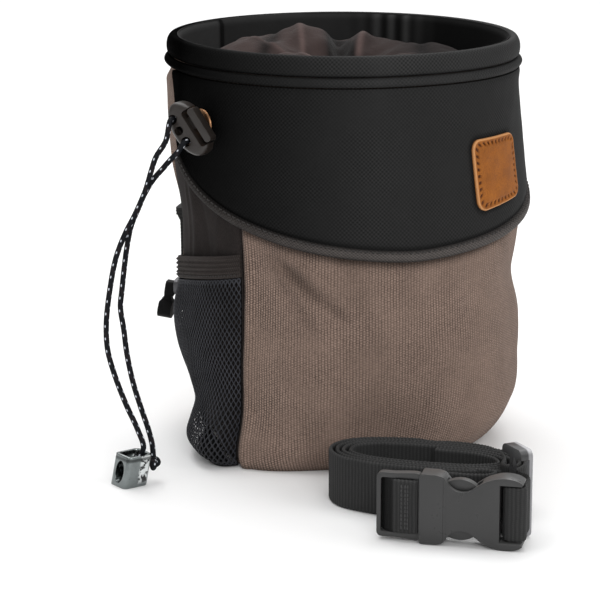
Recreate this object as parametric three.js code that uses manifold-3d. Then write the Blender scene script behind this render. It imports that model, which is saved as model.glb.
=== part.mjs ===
// A climbing chalk bag with its drawcord and its coiled waist belt, in millimetres, +Z up.
// The bag stands at the origin on its flat base and its front faces -Y.
// Angles go round the bag in degrees from the front, positive towards +X.
import * as THREE from "three";
import { mergeVertices } from "three/addons/utils/BufferGeometryUtils.js";
import Module from "manifold-3d";

const wasm = await Module();
wasm.setup();

// Main sizes
const BAG_HEIGHT = 165;
const BAG_WIDTH = 142;
const BAG_DEPTH = 142;
const GAP = 0.3;
const ROUND_COLUMNS = 48;
const CUFF_COLUMNS = 40;

// Cloth walls
const CANVAS_THICK = 2;
const COLLAR_THICK = 1.6;
const COLLAR_GAP = 0.5;
const PANEL_THICK = 1.6;
const MESH_THICK = 0.9;
const CUFF_THICK = 1.4;
const LEATHER_THICK = 1.8;

// Top edge
const RIM_BAND_HEIGHT = 7.8;
const RIM_BAND_PROUD = 1.9;
const RIM_BAND_THICK = 5.2;
const PIPING_HEIGHT = 3.8;
const PIPING_PROUD = 2.9;
const INNER_BAND_THICK = 1.2;
const INNER_BAND_DEEP = 26;

// Collar: its lower edge falls from the rim at the sides to its lowest point in front
const COLLAR_SPAN = 104;
const COLLAR_END = 92;
const COLLAR_END_LEAN = 5;
const COLLAR_DROP = 72;
const COLLAR_FLARE = 2.2;
const COLLAR_CORNER = 9;
const BINDING_WIDTH = 5.2;
const BINDING_THICK = 2.8;
const EDGE_POWER = 1.5;
const EDGE_ROUNDING = 0.3;

// Side panel and mesh pocket, on the left side
const PANEL_FRONT = -60;
const PANEL_TOP = 118;
const PANEL_TOP_BACK = -97;
const PANEL_LEAN = 24;
const PANEL_FOOT = 3;
const POCKET_MARGIN = 1.6;
const POCKET_ROOM = 4.9;
const ELASTIC_HEIGHT = 9;
const ELASTIC_TOP_FRONT = 85.4;
const ELASTIC_SLOPE = 0.22;
const ELASTIC_THICK = 1.3;

// Leather patch on the collar
const PATCH_WIDTH = 27;
const PATCH_HEIGHT = 25.6;
const PATCH_CORNER = 4;
const PATCH_FLARE = 3.2;
const PATCH_ANGLE = 32;
const PATCH_BELOW_RIM = 41;
const PATCH_TURN = 7;

// Drawcord, its eyelet and its lock
const CORD_DIAMETER = 2.2;
const EYELET_ANGLE = -73.5;
const EYELET_BELOW_RIM = 22;
const EYELET_OUTER = 12.6;
const EYELET_BORE = 6;
const EYELET_BARREL = 7.4;
const EYELET_FLANGE = 1.2;
const LOCK_LENGTH = 24;
const LOCK_WIDTH = 13.8;
const LOCK_THICK = 8;
const LOCK_FACING = -48;
const LOCK_LEAN = 36;
const LOCK_STAND_OFF = 9.2;
const LOCK_SHIFT = 1.3;
const LOCK_BORE = 3.4;
const LOCK_BORE_SPACING = 10;
const LOCK_BORE_SIDE = -3;
const BUTTON_LENGTH = 17;
const BUTTON_WIDTH = 3.2;
const BUTTON_THICK = 5.2;
const BUTTON_FORWARD = 1;
const BUTTON_PROUD = 0.4;
const BUTTON_TRAVEL = 2.2;
const FINGER_WIDTH = 5.2;
const FINGER_THICK = 2.6;
const LOCK_WINDOW = 3.6;
const CUBE_SIDE = 11.6;
const CUBE_HEIGHT = 12.5;
const CUBE_BORE = 5.4;
const CUBE_X = -104.7;
const CUBE_Y = -39.5;
const CUBE_TURN = 14;
const KNOT_DIAMETER = 4.4;
const KNOT_PLACE = [-95.8, -42.3, 7.2];

// Back of the bag
const LOOP_ANGLE = 130;
const LOOP_WIDTH = 19;
const LOOP_LOW = 66;
const LOOP_HIGH = 97;
const LOOP_ROOM = 2.2;
const LOOP_THICK = 1.5;
const BARTACK = 4;
const ZIP_LEVEL = 58;
const ZIP_HEIGHT = 14;
const ZIP_REACH = 118;
const ZIP_THICK = 1.2;
const SLIDER_LENGTH = 9;
const SLIDER_WIDTH = 6;
const SLIDER_THICK = 3.4;

// Belt
const WEBBING_WIDTH = 20;
const WEBBING_THICK = 1.5;
const WEBBING_PITCH = 2.3;
const COIL_X = -11.6;
const COIL_Y = -107;
const COIL_TURN = -41;
const COIL_HALF_LENGTH = 39.8;
const COIL_HALF_WIDTH = 20;
const COIL_SQUARENESS = 2.4;
const COIL_TURNS = 2.2;
const BUCKLE_X = -31;
const BUCKLE_Y = -143;
const BUCKLE_TURN = -36;
const BUCKLE_LENGTH = 37.4;
const BUCKLE_THICK = 8;
const BUCKLE_HEIGHT = 26.8;
const BUCKLE_ROOM = 10.8;
const BAR_THICK = 2.2;
const BUCKLE_SLOT = 29;
const FEMALE_BAR_LEFT = 31.7;
const FEMALE_BAR_RIGHT = 36.3;
const FRAME_HEIGHT = 24;
const FRAME_LENGTH = 16;
const FRAME_THICK = 3.4;
const FRAME_ROOM = 10.3;
const MALE_BAR_LEFT = -9.6;
const MALE_BAR_RIGHT = -3.4;
const KEEPER_HEIGHT = 33;
const KEEPER_LENGTH = 14;
const KEEPER_THICK = 4.8;
const KEEPER_BAR = 1.35;
const KEEPER_ROOM = 26;
const KEEPER_PLACE = [4.9, -148];
const KEEPER_TURN = 92.5;

// Half widths and depths of the canvas wall as shares of half the bag's width and depth, by share of its
// height. Square is the power of the section's rounding, 2 for an ellipse.
const WALL_SECTIONS = [
  { at: 0.0, right: 0.72, left: 0.76, front: 0.775, back: 0.7, square: 2.5 },
  { at: 0.03, right: 0.82, left: 0.795, front: 0.84, back: 0.78, square: 2.5 },
  { at: 0.08, right: 0.9, left: 0.836, front: 0.9, back: 0.85, square: 2.5 },
  { at: 0.15, right: 0.97, left: 0.87, front: 0.945, back: 0.91, square: 2.4 },
  { at: 0.24, right: 0.99, left: 0.893, front: 0.96, back: 0.94, square: 2.3 },
  { at: 0.32, right: 1.0, left: 0.896, front: 0.965, back: 0.95, square: 2.2 },
  { at: 0.42, right: 0.961, left: 0.895, front: 0.96, back: 0.95, square: 2.2 },
  { at: 0.55, right: 0.985, left: 0.9, front: 0.96, back: 0.955, square: 2.2 },
  { at: 0.7, right: 0.97, left: 0.95, front: 0.96, back: 0.96, square: 2.15 },
  { at: 0.87, right: 0.95, left: 0.96, front: 0.965, back: 0.97, square: 2.1 },
  { at: 1.0, right: 0.962, left: 0.964, front: 0.972, back: 0.98, square: 2.05 },
];

// Dents and bulges of the canvas: how far out as a share of half the width, at an angle and a share of the
// height, and how far each spreads in degrees and as a share of the height.
const WALL_BULGES = [
  { angle: -58, at: 0.0, out: 0.15, spread: 20, tall: 0.09 },
  { angle: -106, at: 0.1, out: -0.065, spread: 24, tall: 0.085 },
  { angle: -52, at: 0.36, out: -0.02, spread: 10, tall: 0.2 },
  { angle: 8, at: 0.3, out: 0.02, spread: 26, tall: 0.16 },
  { angle: 70, at: 0.42, out: -0.018, spread: 22, tall: 0.05 },
  { angle: 140, at: 0.3, out: 0.02, spread: 30, tall: 0.2 },
  { angle: -150, at: 0.45, out: -0.02, spread: 24, tall: 0.12 },
];

// How far the mesh pocket stands off the side panel, as a share of its room, by share of its height
const POCKET_SECTIONS = [
  { at: 0.0, room: 1.7, front: 0.4 },
  { at: 0.05, room: 2.6, front: 0.38 },
  { at: 0.12, room: 2.95, front: 0.36 },
  { at: 0.2, room: 2.5, front: 0.36 },
  { at: 0.3, room: 1.4, front: 0.42 },
  { at: 0.42, room: 0.8, front: 0.7 },
  { at: 0.6, room: 0.9, front: 1.0 },
  { at: 0.8, room: 1.05, front: 1.0 },
  { at: 1.0, room: 1.0, front: 1.0 },
];

// Rings of the gathered closure from the wall to its mouth: share of the inner radius, drop below the rim
// as a share of CUFF_DROP, and how strongly the folds show
const CUFF_DROP = 13;
const CUFF_RINGS = [
  { radius: 1.0, drop: 1.0, fold: 0.0 },
  { radius: 0.84, drop: 0.78, fold: 0.5 },
  { radius: 0.62, drop: 0.52, fold: 1.0 },
  { radius: 0.4, drop: 0.68, fold: 0.85 },
  { radius: 0.24, drop: 1.1, fold: 0.5 },
  { radius: 0.13, drop: 1.9, fold: 0.15 },
];

// Folds of the closure: angle, half spread in degrees and rise as a share of CUFF_DROP
const CUFF_FOLDS = [
  { angle: 175, spread: 17, rise: 0.5 },
  { angle: 128, spread: 13, rise: -0.3 },
  { angle: 95, spread: 16, rise: 0.22 },
  { angle: 52, spread: 14, rise: -0.2 },
  { angle: 18, spread: 17, rise: 0.2 },
  { angle: -22, spread: 14, rise: -0.22 },
  { angle: -58, spread: 17, rise: 0.2 },
  { angle: -98, spread: 15, rise: -0.25 },
  { angle: -138, spread: 15, rise: 0.32 },
  { angle: -162, spread: 9, rise: -0.25 },
];

// Route of both drawcord strands from the lock's face to the cube, chosen by hand
const STRAND_A_ROUTE = [
  [-85.2, -26.2, 130.9],
  [-89.5, -26.7, 124.9],
  [-91.9, -27.6, 119.4],
  [-94.5, -28.5, 112.7],
  [-99.0, -28.4, 103.3],
  [-102.5, -28.1, 97.0],
  [-106.4, -27.6, 87.4],
  [-109.3, -27.7, 74.2],
  [-111.2, -28.7, 61.7],
  [-111.3, -30.1, 52.2],
  [-109.8, -32.1, 43.5],
  [-106.9, -35.6, 31.6],
  [-104.6, -38.4, 21.3],
  [-103.9, -39.6, 14.5],
  [-103.8, -39.9, 9],
];
const STRAND_B_ROUTE = [
  [-81.4, -29.2, 126.9],
  [-84.4, -28.4, 123.7],
  [-87.0, -27.6, 120.6],
  [-90.7, -26.5, 116.2],
  [-94.0, -26.0, 110.9],
  [-96.7, -25.9, 105.2],
  [-99.5, -25.9, 99.0],
  [-101.7, -26.6, 90.5],
  [-104.9, -29.2, 74.1],
  [-105.8, -30.0, 68.4],
  [-105.1, -31.6, 59.6],
  [-104.6, -33.2, 50.8],
  [-103.1, -35.5, 39.8],
  [-100.8, -38.0, 29.5],
  [-98.3, -40.3, 21.3],
  [-96.2, -42.0, 15],
  [-95.9, -42.4, 10],
];

// Route of the belt on the floor, by its middle and its lower edge: from the female part's bar through the
// slider to the coil, and from the coil round to the male part's bar
const BELT_LEAD_IN = [
  [5.25, -156.2, 3.9],
  [5.2, -153, 3.9],
  [4.9, -148, 3.9],
  [4.6, -142, 3.9],
  [4.6, -139.2, 3.7],
  [6.2, -133.8, 2.8],
  [11.4, -125.4, 1.4],
  [14.8, -116.2, 0.5],
  [14.2, -107, 0.3],
  [6.6, -97.4, 0.3],
  [-5.2, -89.6, 0.3],
];
const BELT_LEAD_OUT = [
  [-7, -127.6, 0.4],
  [-1.6, -133.2, 0.8],
  [1, -137.4, 1.3],
  [-0.8, -141.6, 1.9],
  [-5.6, -143.6, 2.4],
  [-12, -142.2, 2.9],
  [-20, -137.8, 3.3],
  [-25.2, -136.6, 3.6],
];

const material = (name, color, roughness, metalness = 0) =>
  new THREE.MeshStandardMaterial({ name, color, roughness, metalness });

const MATERIALS = {
  canvas: material("canvas", 0x74645b, 0.95),
  nylon: material("nylon", 0x232323, 0.8),
  sideNylon: material("side_nylon", 0x2c2725, 0.85),
  binding: material("binding", 0x3c3836, 0.85),
  fleece: material("fleece", 0x4a3f3e, 0.95),
  mesh: material("mesh", 0x1d1d1e, 0.8),
  leather: material("leather", 0xaa6932, 0.6),
  bronze: material("bronze", 0x6b4a2e, 0.4, 1),
  lockPlastic: material("lock_plastic", 0x3a322e, 0.5),
  cord: material("cord", 0x20222a, 0.8),
  gunmetal: material("gunmetal", 0x8a8f91, 0.3, 1),
  webbing: material("webbing", 0x2b2b2b, 0.85),
  bucklePlastic: material("buckle_plastic", 0x3d3e40, 0.5),
};

const radians = THREE.MathUtils.degToRad;
const clamp = THREE.MathUtils.clamp;
const lerp = THREE.MathUtils.lerp;

/** One column of a table of sections, as a smooth curve through its rows. */
function smoothColumn(table, name, at) {
  const last = table.length - 1;
  let k = 0;
  while (k < last - 1 && at > table[k + 1].at) k += 1;
  const before = table[Math.max(k - 1, 0)];
  const low = table[k];
  const high = table[k + 1];
  const after = table[Math.min(k + 2, last)];
  const span = high.at - low.at;
  const t = clamp((at - low.at) / span, 0, 1);
  const startSlope = ((high[name] - before[name]) / (high.at - before.at)) * span;
  const endSlope = ((after[name] - low[name]) / (after.at - low.at)) * span;
  const a = 2 * (low[name] - high[name]) + startSlope + endSlope;
  const b = 3 * (high[name] - low[name]) - 2 * startSlope - endSlope;
  return ((a * t + b) * t + startSlope) * t + low[name];
}

/** Smallest turn between two angles, in degrees. */
function turnBetween(a, b) {
  return Math.abs(((a - b + 540) % 360) - 180);
}

/** Distance of the canvas wall from the bag's axis. */
function wallRadius(angle, height) {
  const at = clamp(height / BAG_HEIGHT, 0, 1);
  const s = Math.sin(radians(angle));
  const c = Math.cos(radians(angle));
  const halfWidth = smoothColumn(WALL_SECTIONS, s >= 0 ? "right" : "left", at) * (BAG_WIDTH / 2);
  const halfDepth = smoothColumn(WALL_SECTIONS, c >= 0 ? "front" : "back", at) * (BAG_DEPTH / 2);
  const power = smoothColumn(WALL_SECTIONS, "square", at);
  let radius = (Math.abs(s / halfWidth) ** power + Math.abs(c / halfDepth) ** power) ** (-1 / power);
  for (const bulge of WALL_BULGES) {
    const across = turnBetween(angle, bulge.angle) / bulge.spread;
    const up = (at - bulge.at) / bulge.tall;
    radius += (bulge.out * BAG_WIDTH * Math.exp(-across * across - up * up)) / 2;
  }
  return radius;
}

/** Point on the canvas wall, moved out of it by a distance. */
function wallPoint(angle, height, out) {
  const radius = wallRadius(angle, height) + out;
  return new THREE.Vector3(radius * Math.sin(radians(angle)), -radius * Math.cos(radians(angle)), height);
}

/** Closed geometry from points and triangles. */
function meshOf(points, faces) {
  const geometry = new THREE.BufferGeometry();
  const numbers = points.flatMap((p) => [p.x, p.y, p.z]);
  geometry.setAttribute("position", new THREE.Float32BufferAttribute(numbers, 3));
  geometry.setIndex(faces);
  return geometry;
}

/** Closed wall between two sheets of points. Each sheet is a function of two shares from 0 to 1. */
function wallBetween(outer, inner, columns, rows) {
  const points = [];
  const faces = [];
  for (const sheet of [outer, inner]) {
    for (let i = 0; i <= columns; i += 1) {
      for (let j = 0; j <= rows; j += 1) points.push(sheet(i / columns, j / rows));
    }
  }
  const at = (side, i, j) => (side * (columns + 1) + i) * (rows + 1) + j;
  const quad = (a, b, c, d) => faces.push(a, b, c, a, c, d);
  for (let i = 0; i < columns; i += 1) {
    for (let j = 0; j < rows; j += 1) {
      quad(at(0, i, j), at(0, i + 1, j), at(0, i + 1, j + 1), at(0, i, j + 1));
      quad(at(1, i, j), at(1, i, j + 1), at(1, i + 1, j + 1), at(1, i + 1, j));
    }
    quad(at(1, i, 0), at(1, i + 1, 0), at(0, i + 1, 0), at(0, i, 0));
    quad(at(0, i, rows), at(0, i + 1, rows), at(1, i + 1, rows), at(1, i, rows));
  }
  for (let j = 0; j < rows; j += 1) {
    quad(at(0, 0, j), at(0, 0, j + 1), at(1, 0, j + 1), at(1, 0, j));
    quad(at(1, columns, j), at(1, columns, j + 1), at(0, columns, j + 1), at(0, columns, j));
  }
  return meshOf(points, faces);
}

/** Closed solid of revolution-like rings of equal length, joined into a loop or closed by two poles. */
function ringSolid(rings, poles) {
  const points = rings.flat();
  const faces = [];
  const count = rings[0].length;
  const last = rings.length - 1;
  const bands = poles ? last : last + 1;
  for (let k = 0; k < bands; k += 1) {
    for (let i = 0; i < count; i += 1) {
      const next = (i + 1) % count;
      const low = k * count;
      const high = ((k + 1) % rings.length) * count;
      faces.push(low + i, low + next, high + next, low + i, high + next, high + i);
    }
  }
  if (poles) {
    const start = points.push(poles[0]) - 1;
    const end = points.push(poles[1]) - 1;
    for (let i = 0; i < count; i += 1) {
      const next = (i + 1) % count;
      faces.push(start, next, i, end, last * count + i, last * count + next);
    }
  }
  return meshOf(points, faces);
}

/** Ring of points round the bag at a height and a distance out of the wall. */
function wallRing(height, out) {
  const ring = [];
  for (let i = 0; i < ROUND_COLUMNS; i += 1) ring.push(wallPoint((i * 360) / ROUND_COLUMNS, height, out));
  return ring;
}

/** Solid of a closed geometry, for cutting. */
function solidOf(geometry) {
  const bare = geometry.index ? geometry.clone() : mergeVertices(geometry.clone());
  bare.deleteAttribute("normal");
  bare.deleteAttribute("uv");
  const merged = mergeVertices(bare, 1e-4);
  return new wasm.Manifold(
    new wasm.Mesh({
      numProp: 3,
      vertProperties: new Float32Array(merged.attributes.position.array),
      triVerts: new Uint32Array(merged.index.array),
    }),
  );
}

/** Geometry of a solid. */
function geometryOf(solid) {
  const mesh = solid.getMesh();
  const geometry = new THREE.BufferGeometry();
  geometry.setAttribute("position", new THREE.Float32BufferAttribute(mesh.vertProperties, 3));
  geometry.setIndex(new THREE.Uint32BufferAttribute(mesh.triVerts, 1));
  return geometry;
}

/** A geometry less some cutters. */
function cut(geometry, ...cutters) {
  return geometryOf(cutters.reduce((solid, cutter) => solid.subtract(solidOf(cutter)), solidOf(geometry)));
}

/** Extruded outline, centred on its thickness. */
function plate(shape, thickness, curveSegments = 6) {
  const geometry = new THREE.ExtrudeGeometry(shape, { depth: thickness, bevelEnabled: false, curveSegments });
  return geometry.translate(0, 0, -thickness / 2);
}

/** Outline of a rectangle with round corners, round a centre. */
function roundedRectangle(width, height, radius, x = 0, y = 0) {
  const shape = new THREE.Shape();
  const w = width / 2;
  const h = height / 2;
  shape.moveTo(x + w - radius, y - h);
  shape.absarc(x + w - radius, y - h + radius, radius, -Math.PI / 2, 0);
  shape.absarc(x + w - radius, y + h - radius, radius, 0, Math.PI / 2);
  shape.absarc(x - w + radius, y + h - radius, radius, Math.PI / 2, Math.PI);
  shape.absarc(x - w + radius, y - h + radius, radius, Math.PI, Math.PI * 1.5);
  return shape;
}

const group = new THREE.Group();

/** Adds a named piece to a group. */
function add(name, geometry, finish, parent = group) {
  const mesh = new THREE.Mesh(geometry, finish);
  mesh.name = name;
  parent.add(mesh);
  return mesh;
}

// Levels that the top edge gives
const RIM_LOW = BAG_HEIGHT - RIM_BAND_HEIGHT;
const WALL_TOP = RIM_LOW - GAP;
const COLLAR_TOP = RIM_LOW - PIPING_HEIGHT - GAP;
const PATCH_LEVEL = RIM_LOW - PATCH_BELOW_RIM;
const EYELET_LEVEL = RIM_LOW - EYELET_BELOW_RIM;

/** Hollow canvas cup with a flat base, cut away where the side panel fills it. */
function canvasBody() {
  const outerLevels = [0, 0.025, 0.07, 0.14, 0.23, 0.33, 0.43, 0.55, 0.67, 0.82, 1];
  const innerLevels = [1, 0.885, 0.5, 0.12];
  const rings = outerLevels.map((share) => wallRing(share * WALL_TOP, 0));
  for (const share of innerLevels) rings.push(wallRing(share * WALL_TOP, -CANVAS_THICK));
  rings.push(wallRing(CANVAS_THICK, -CANVAS_THICK * 2));
  const poles = [new THREE.Vector3(0, 0, 0), new THREE.Vector3(0, 0, CANVAS_THICK)];
  return cut(ringSolid(rings, poles), sidePanelShape(GAP, CANVAS_THICK + 2, 2), eyeletHole());
}

/** Angle of the side panel's back edge at a height. */
function panelBack(height) {
  const down = clamp((PANEL_TOP - height) / PANEL_TOP, 0, 1);
  return PANEL_TOP_BACK - PANEL_LEAN * down ** 0.8;
}

/** Side panel's slab, grown by a margin and with its own depth under and over the wall's face. */
function sidePanelShape(margin, under, over) {
  const marginAngle = (margin / (BAG_WIDTH / 2)) * (180 / Math.PI);
  const sheet = (out) => (u, v) => {
    const height = lerp(PANEL_FOOT - margin, PANEL_TOP + margin, v);
    const angle = lerp(panelBack(height) - marginAngle, PANEL_FRONT + marginAngle, u);
    return wallPoint(angle, height, out);
  };
  return wallBetween(sheet(over), sheet(-under), 8, 10);
}

/** How far the collar's outer face stands out of the canvas wall. */
function collarOut(angle, height) {
  const low = edgeLevel(angle);
  const share = clamp((COLLAR_TOP - height) / (COLLAR_TOP - low), 0, 1);
  const side = 0.55 + 0.45 * Math.sin(radians(angle));
  return COLLAR_GAP + COLLAR_THICK + COLLAR_FLARE * side * share * share;
}

/** Height of the collar's lower edge at an angle. */
function edgeLevel(angle) {
  const share = clamp(Math.abs(angle) / COLLAR_SPAN, 0, 0.999);
  return RIM_LOW - COLLAR_DROP * (1 - share ** EDGE_POWER) ** EDGE_ROUNDING;
}

/** Evenly spaced points {angle, height} on the collar's edge, moved into the collar by a distance. */
function collarEdge(count, inset, top) {
  const dense = [];
  const steps = 400;
  const arc = radians(1) * (BAG_WIDTH / 2);
  for (let k = 0; k <= steps; k += 1) {
    const side = Math.sin(lerp(-Math.PI / 2, Math.PI / 2, k / steps));
    const angle = COLLAR_SPAN * Math.sign(side) * Math.abs(side) ** 1.333 * 0.9999;
    dense.push(new THREE.Vector2(angle * arc, edgeLevel(angle)));
  }
  const moved = dense.map((p, k) => {
    const along = dense[Math.min(k + 1, steps)].clone().sub(dense[Math.max(k - 1, 0)]).normalize();
    return new THREE.Vector2(p.x - along.y * inset, p.y + along.x * inset);
  });
  const kept = moved.filter((p) => p.y < top && Math.abs(p.x) < COLLAR_END * arc);
  const lengths = [0];
  for (let k = 1; k < kept.length; k += 1) lengths.push(lengths[k - 1] + kept[k].distanceTo(kept[k - 1]));
  const total = lengths[lengths.length - 1];
  const edge = [];
  let k = 0;
  for (let i = 0; i <= count; i += 1) {
    const want = (total * i) / count;
    while (k < kept.length - 2 && lengths[k + 1] < want) k += 1;
    const t = clamp((want - lengths[k]) / (lengths[k + 1] - lengths[k]), 0, 1);
    const p = kept[k].clone().lerp(kept[k + 1], t);
    edge.push({ angle: p.x / arc, height: p.y });
  }
  return edge;
}

/** Collar: a sheet from its curved lower edge to the piping, standing off the canvas at its lower edge. */
function collar() {
  const columns = 40;
  const edge = collarEdge(columns, BINDING_WIDTH + GAP, COLLAR_TOP - COLLAR_CORNER);
  const topSpan = edge[columns].angle + COLLAR_END_LEAN;
  const sheet = (under) => (u, v) => {
    const low = edge[Math.round(u * columns)];
    const angle = lerp(low.angle, lerp(-topSpan, topSpan, u), v);
    const height = lerp(low.height, COLLAR_TOP - GAP, v);
    return wallPoint(angle, height, collarOut(angle, height) - under);
  };
  return cut(wallBetween(sheet(0), sheet(COLLAR_THICK), columns, 4), eyeletHole());
}

/** Fabric binding that follows the collar's lower edge. */
function collarBinding() {
  const columns = 48;
  const low = collarEdge(columns, 0, COLLAR_TOP - GAP);
  const high = collarEdge(columns, BINDING_WIDTH, COLLAR_TOP - GAP);
  const rise = (BINDING_THICK - COLLAR_THICK) / 2;
  const sheet = (out) => (u, v) => {
    const k = Math.round(u * columns);
    const angle = lerp(low[k].angle, high[k].angle, v);
    const height = lerp(low[k].height, high[k].height, v);
    const face = collarOut(angle, height);
    return wallPoint(angle, height, out ? face + rise : Math.max(face - COLLAR_THICK - rise, COLLAR_GAP));
  };
  return wallBetween(sheet(true), sheet(false), columns, 1);
}

/** Ring with an outline of {out, level} points, in order round its section. */
function bandRing(outline) {
  return ringSolid(outline.map((p) => wallRing(p.level, p.out)), null);
}

/** Stiff band that caps the wall. */
function rimBand() {
  const low = RIM_LOW;
  const top = BAG_HEIGHT;
  const outside = RIM_BAND_PROUD;
  const inside = RIM_BAND_PROUD - RIM_BAND_THICK;
  return bandRing([
    { out: outside - 0.9, level: low },
    { out: outside, level: low + 1 },
    { out: outside, level: top - 2.4 },
    { out: outside - 1.3, level: top },
    { out: inside + 1.3, level: top },
    { out: inside, level: top - 2.4 },
    { out: inside, level: low },
  ]);
}

/** Folded bead under the rim band. */
function rimPiping() {
  const top = RIM_LOW - GAP;
  const low = top - PIPING_HEIGHT + GAP;
  return bandRing([
    { out: GAP, level: low },
    { out: PIPING_PROUD - 0.9, level: low },
    { out: PIPING_PROUD, level: (low + top) / 2 },
    { out: PIPING_PROUD - 0.9, level: top },
    { out: GAP, level: top },
  ]);
}

/** Dark band inside the mouth, under the rim band. */
function innerBand() {
  const outside = -CANVAS_THICK - GAP;
  const top = WALL_TOP;
  const low = BAG_HEIGHT - INNER_BAND_DEEP;
  return bandRing([
    { out: outside - INNER_BAND_THICK, level: low },
    { out: outside, level: low },
    { out: outside, level: top },
    { out: outside - INNER_BAND_THICK, level: top },
  ]);
}

/** Height that the folds add to the closure, as a share of its drop. */
function foldRise(angle) {
  let rise = 0;
  for (const fold of CUFF_FOLDS) {
    const across = turnBetween(angle, fold.angle) / fold.spread;
    rise += fold.rise * Math.exp(-across * across);
  }
  return rise;
}

/** Gathered closure: a folded ring of cloth from the inner band to a small mouth. */
function closureCuff() {
  const outside = -CANVAS_THICK - 2 * GAP - INNER_BAND_THICK;
  const ring = (row, under) => {
    const points = [];
    for (let i = 0; i < CUFF_COLUMNS; i += 1) {
      const angle = (i * 360) / CUFF_COLUMNS;
      const level = BAG_HEIGHT - CUFF_DROP * row.drop + CUFF_DROP * row.fold * foldRise(angle);
      const radius = (wallRadius(angle, BAG_HEIGHT - CUFF_DROP) + outside) * row.radius;
      const inward = under * (row.radius < 0.3 ? -0.8 : 0);
      const reach = radius - inward;
      const turn = radians(angle);
      points.push(new THREE.Vector3(reach * Math.sin(turn), -reach * Math.cos(turn), level - under));
    }
    return points;
  };
  const rings = CUFF_RINGS.map((row) => ring(row, 0));
  for (const row of [...CUFF_RINGS].reverse()) rings.push(ring(row, CUFF_THICK));
  return ringSolid(rings, null);
}

/** Height of the pocket elastic's lower edge at an angle. */
function elasticLow(angle) {
  return ELASTIC_TOP_FRONT - ELASTIC_HEIGHT - ELASTIC_SLOPE * (PANEL_FRONT - angle);
}

/** Angle across the pocket at a height, from its back edge at 0 to its front edge at 1. */
function pocketAngle(u, height) {
  return lerp(panelBack(height) + POCKET_MARGIN, PANEL_FRONT - 0.4, u);
}

/** Share of the pocket's room at a share of the way across it. */
function acrossPocket(u) {
  return 1 - Math.abs(2 * u - 1) ** 4;
}

/** Elastic band along the pocket's top. */
function pocketElastic() {
  const sheet = (out) => (u, v) => {
    const guess = pocketAngle(u, ELASTIC_TOP_FRONT - ELASTIC_HEIGHT);
    const low = elasticLow(guess);
    const height = lerp(low, low + ELASTIC_HEIGHT, v);
    const stand = GAP + POCKET_ROOM * acrossPocket(u);
    return wallPoint(pocketAngle(u, height), height, stand + out);
  };
  return wallBetween(sheet(ELASTIC_THICK), sheet(0), 12, 1);
}

/** Mesh pocket under the elastic, slack near the floor. */
function meshPocket() {
  const sheet = (out) => (u, v) => {
    const guess = pocketAngle(u, ELASTIC_TOP_FRONT - ELASTIC_HEIGHT);
    const height = lerp(1, elasticLow(guess) - GAP, v);
    const slack = smoothColumn(POCKET_SECTIONS, "room", v);
    const toFront = smoothColumn(POCKET_SECTIONS, "front", v);
    const across = acrossPocket(clamp(u ** (1 / toFront), 0, 1));
    const stand = GAP + POCKET_ROOM * slack * across;
    return wallPoint(pocketAngle(u, height), height, stand + out);
  };
  return wallBetween(sheet(MESH_THICK), sheet(0), 12, 11);
}

/** Leather patch laid on the collar's curve: a rectangle with round corners, a little taller on its left. */
function leatherPatch() {
  const halfWidth = PATCH_WIDTH / 2;
  const halfHeight = PATCH_HEIGHT / 2;
  const flat = halfWidth - PATCH_CORNER;
  const arc = radians(1) * (BAG_WIDTH / 2);
  const turn = radians(PATCH_TURN);
  const sheet = (out) => (u, v) => {
    const x = lerp(-halfWidth, halfWidth, 0.5 - 0.5 * Math.cos(Math.PI * u));
    const past = Math.max(Math.abs(x) - flat, 0);
    const reach = halfHeight - PATCH_CORNER + Math.sqrt(Math.max(PATCH_CORNER ** 2 - past ** 2, 0));
    const even = lerp(-reach, reach, v);
    const y = even + PATCH_FLARE * (even / PATCH_HEIGHT + 0.5) * (0.5 - x / PATCH_WIDTH);
    const angle = PATCH_ANGLE + (x * Math.cos(turn) - y * Math.sin(turn)) / arc;
    const height = PATCH_LEVEL + x * Math.sin(turn) + y * Math.cos(turn);
    return wallPoint(angle, height, collarOut(angle, height) + GAP + out);
  };
  return wallBetween(sheet(LEATHER_THICK), sheet(0), 10, 3);
}

// Eyelet's place on the collar: its normal is level and points out of the bag
const EYELET_SEAT = collarOut(EYELET_ANGLE, EYELET_LEVEL) + GAP;
const EYELET_NORMAL = new THREE.Vector3(Math.sin(radians(EYELET_ANGLE)), -Math.cos(radians(EYELET_ANGLE)), 0);

/** Turns a geometry built along +Z so that it points along a direction and stands at a point. */
function aim(geometry, direction, place) {
  geometry.applyQuaternion(new THREE.Quaternion().setFromUnitVectors(new THREE.Vector3(0, 0, 1), direction));
  return geometry.translate(place.x, place.y, place.z);
}

/** Hole through the collar and the canvas for the eyelet's barrel. */
function eyeletHole() {
  const radius = EYELET_BARREL / 2 + GAP;
  const bore = new THREE.CylinderGeometry(radius, radius, 20, 16).rotateX(Math.PI / 2);
  return aim(bore, EYELET_NORMAL, wallPoint(EYELET_ANGLE, EYELET_LEVEL, 0));
}

/** Metal eyelet: a flange with a barrel through the collar. */
function eyelet() {
  const bore = EYELET_BORE / 2;
  const barrel = EYELET_BARREL / 2;
  const outer = EYELET_OUTER / 2;
  const deep = COLLAR_THICK + GAP + 0.6;
  const profile = [
    [bore, -deep],
    [barrel, -deep],
    [barrel, 0],
    [outer, 0],
    [outer, EYELET_FLANGE * 0.4],
    [outer - 0.9, EYELET_FLANGE],
    [bore + 0.8, EYELET_FLANGE],
    [bore, EYELET_FLANGE * 0.5],
    [bore, -deep],
  ].map(([x, y]) => new THREE.Vector2(x, y));
  const ring = new THREE.LatheGeometry(profile, 16).rotateX(Math.PI / 2);
  return aim(ring, EYELET_NORMAL, wallPoint(EYELET_ANGLE, EYELET_LEVEL, EYELET_SEAT + GAP));
}

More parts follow.
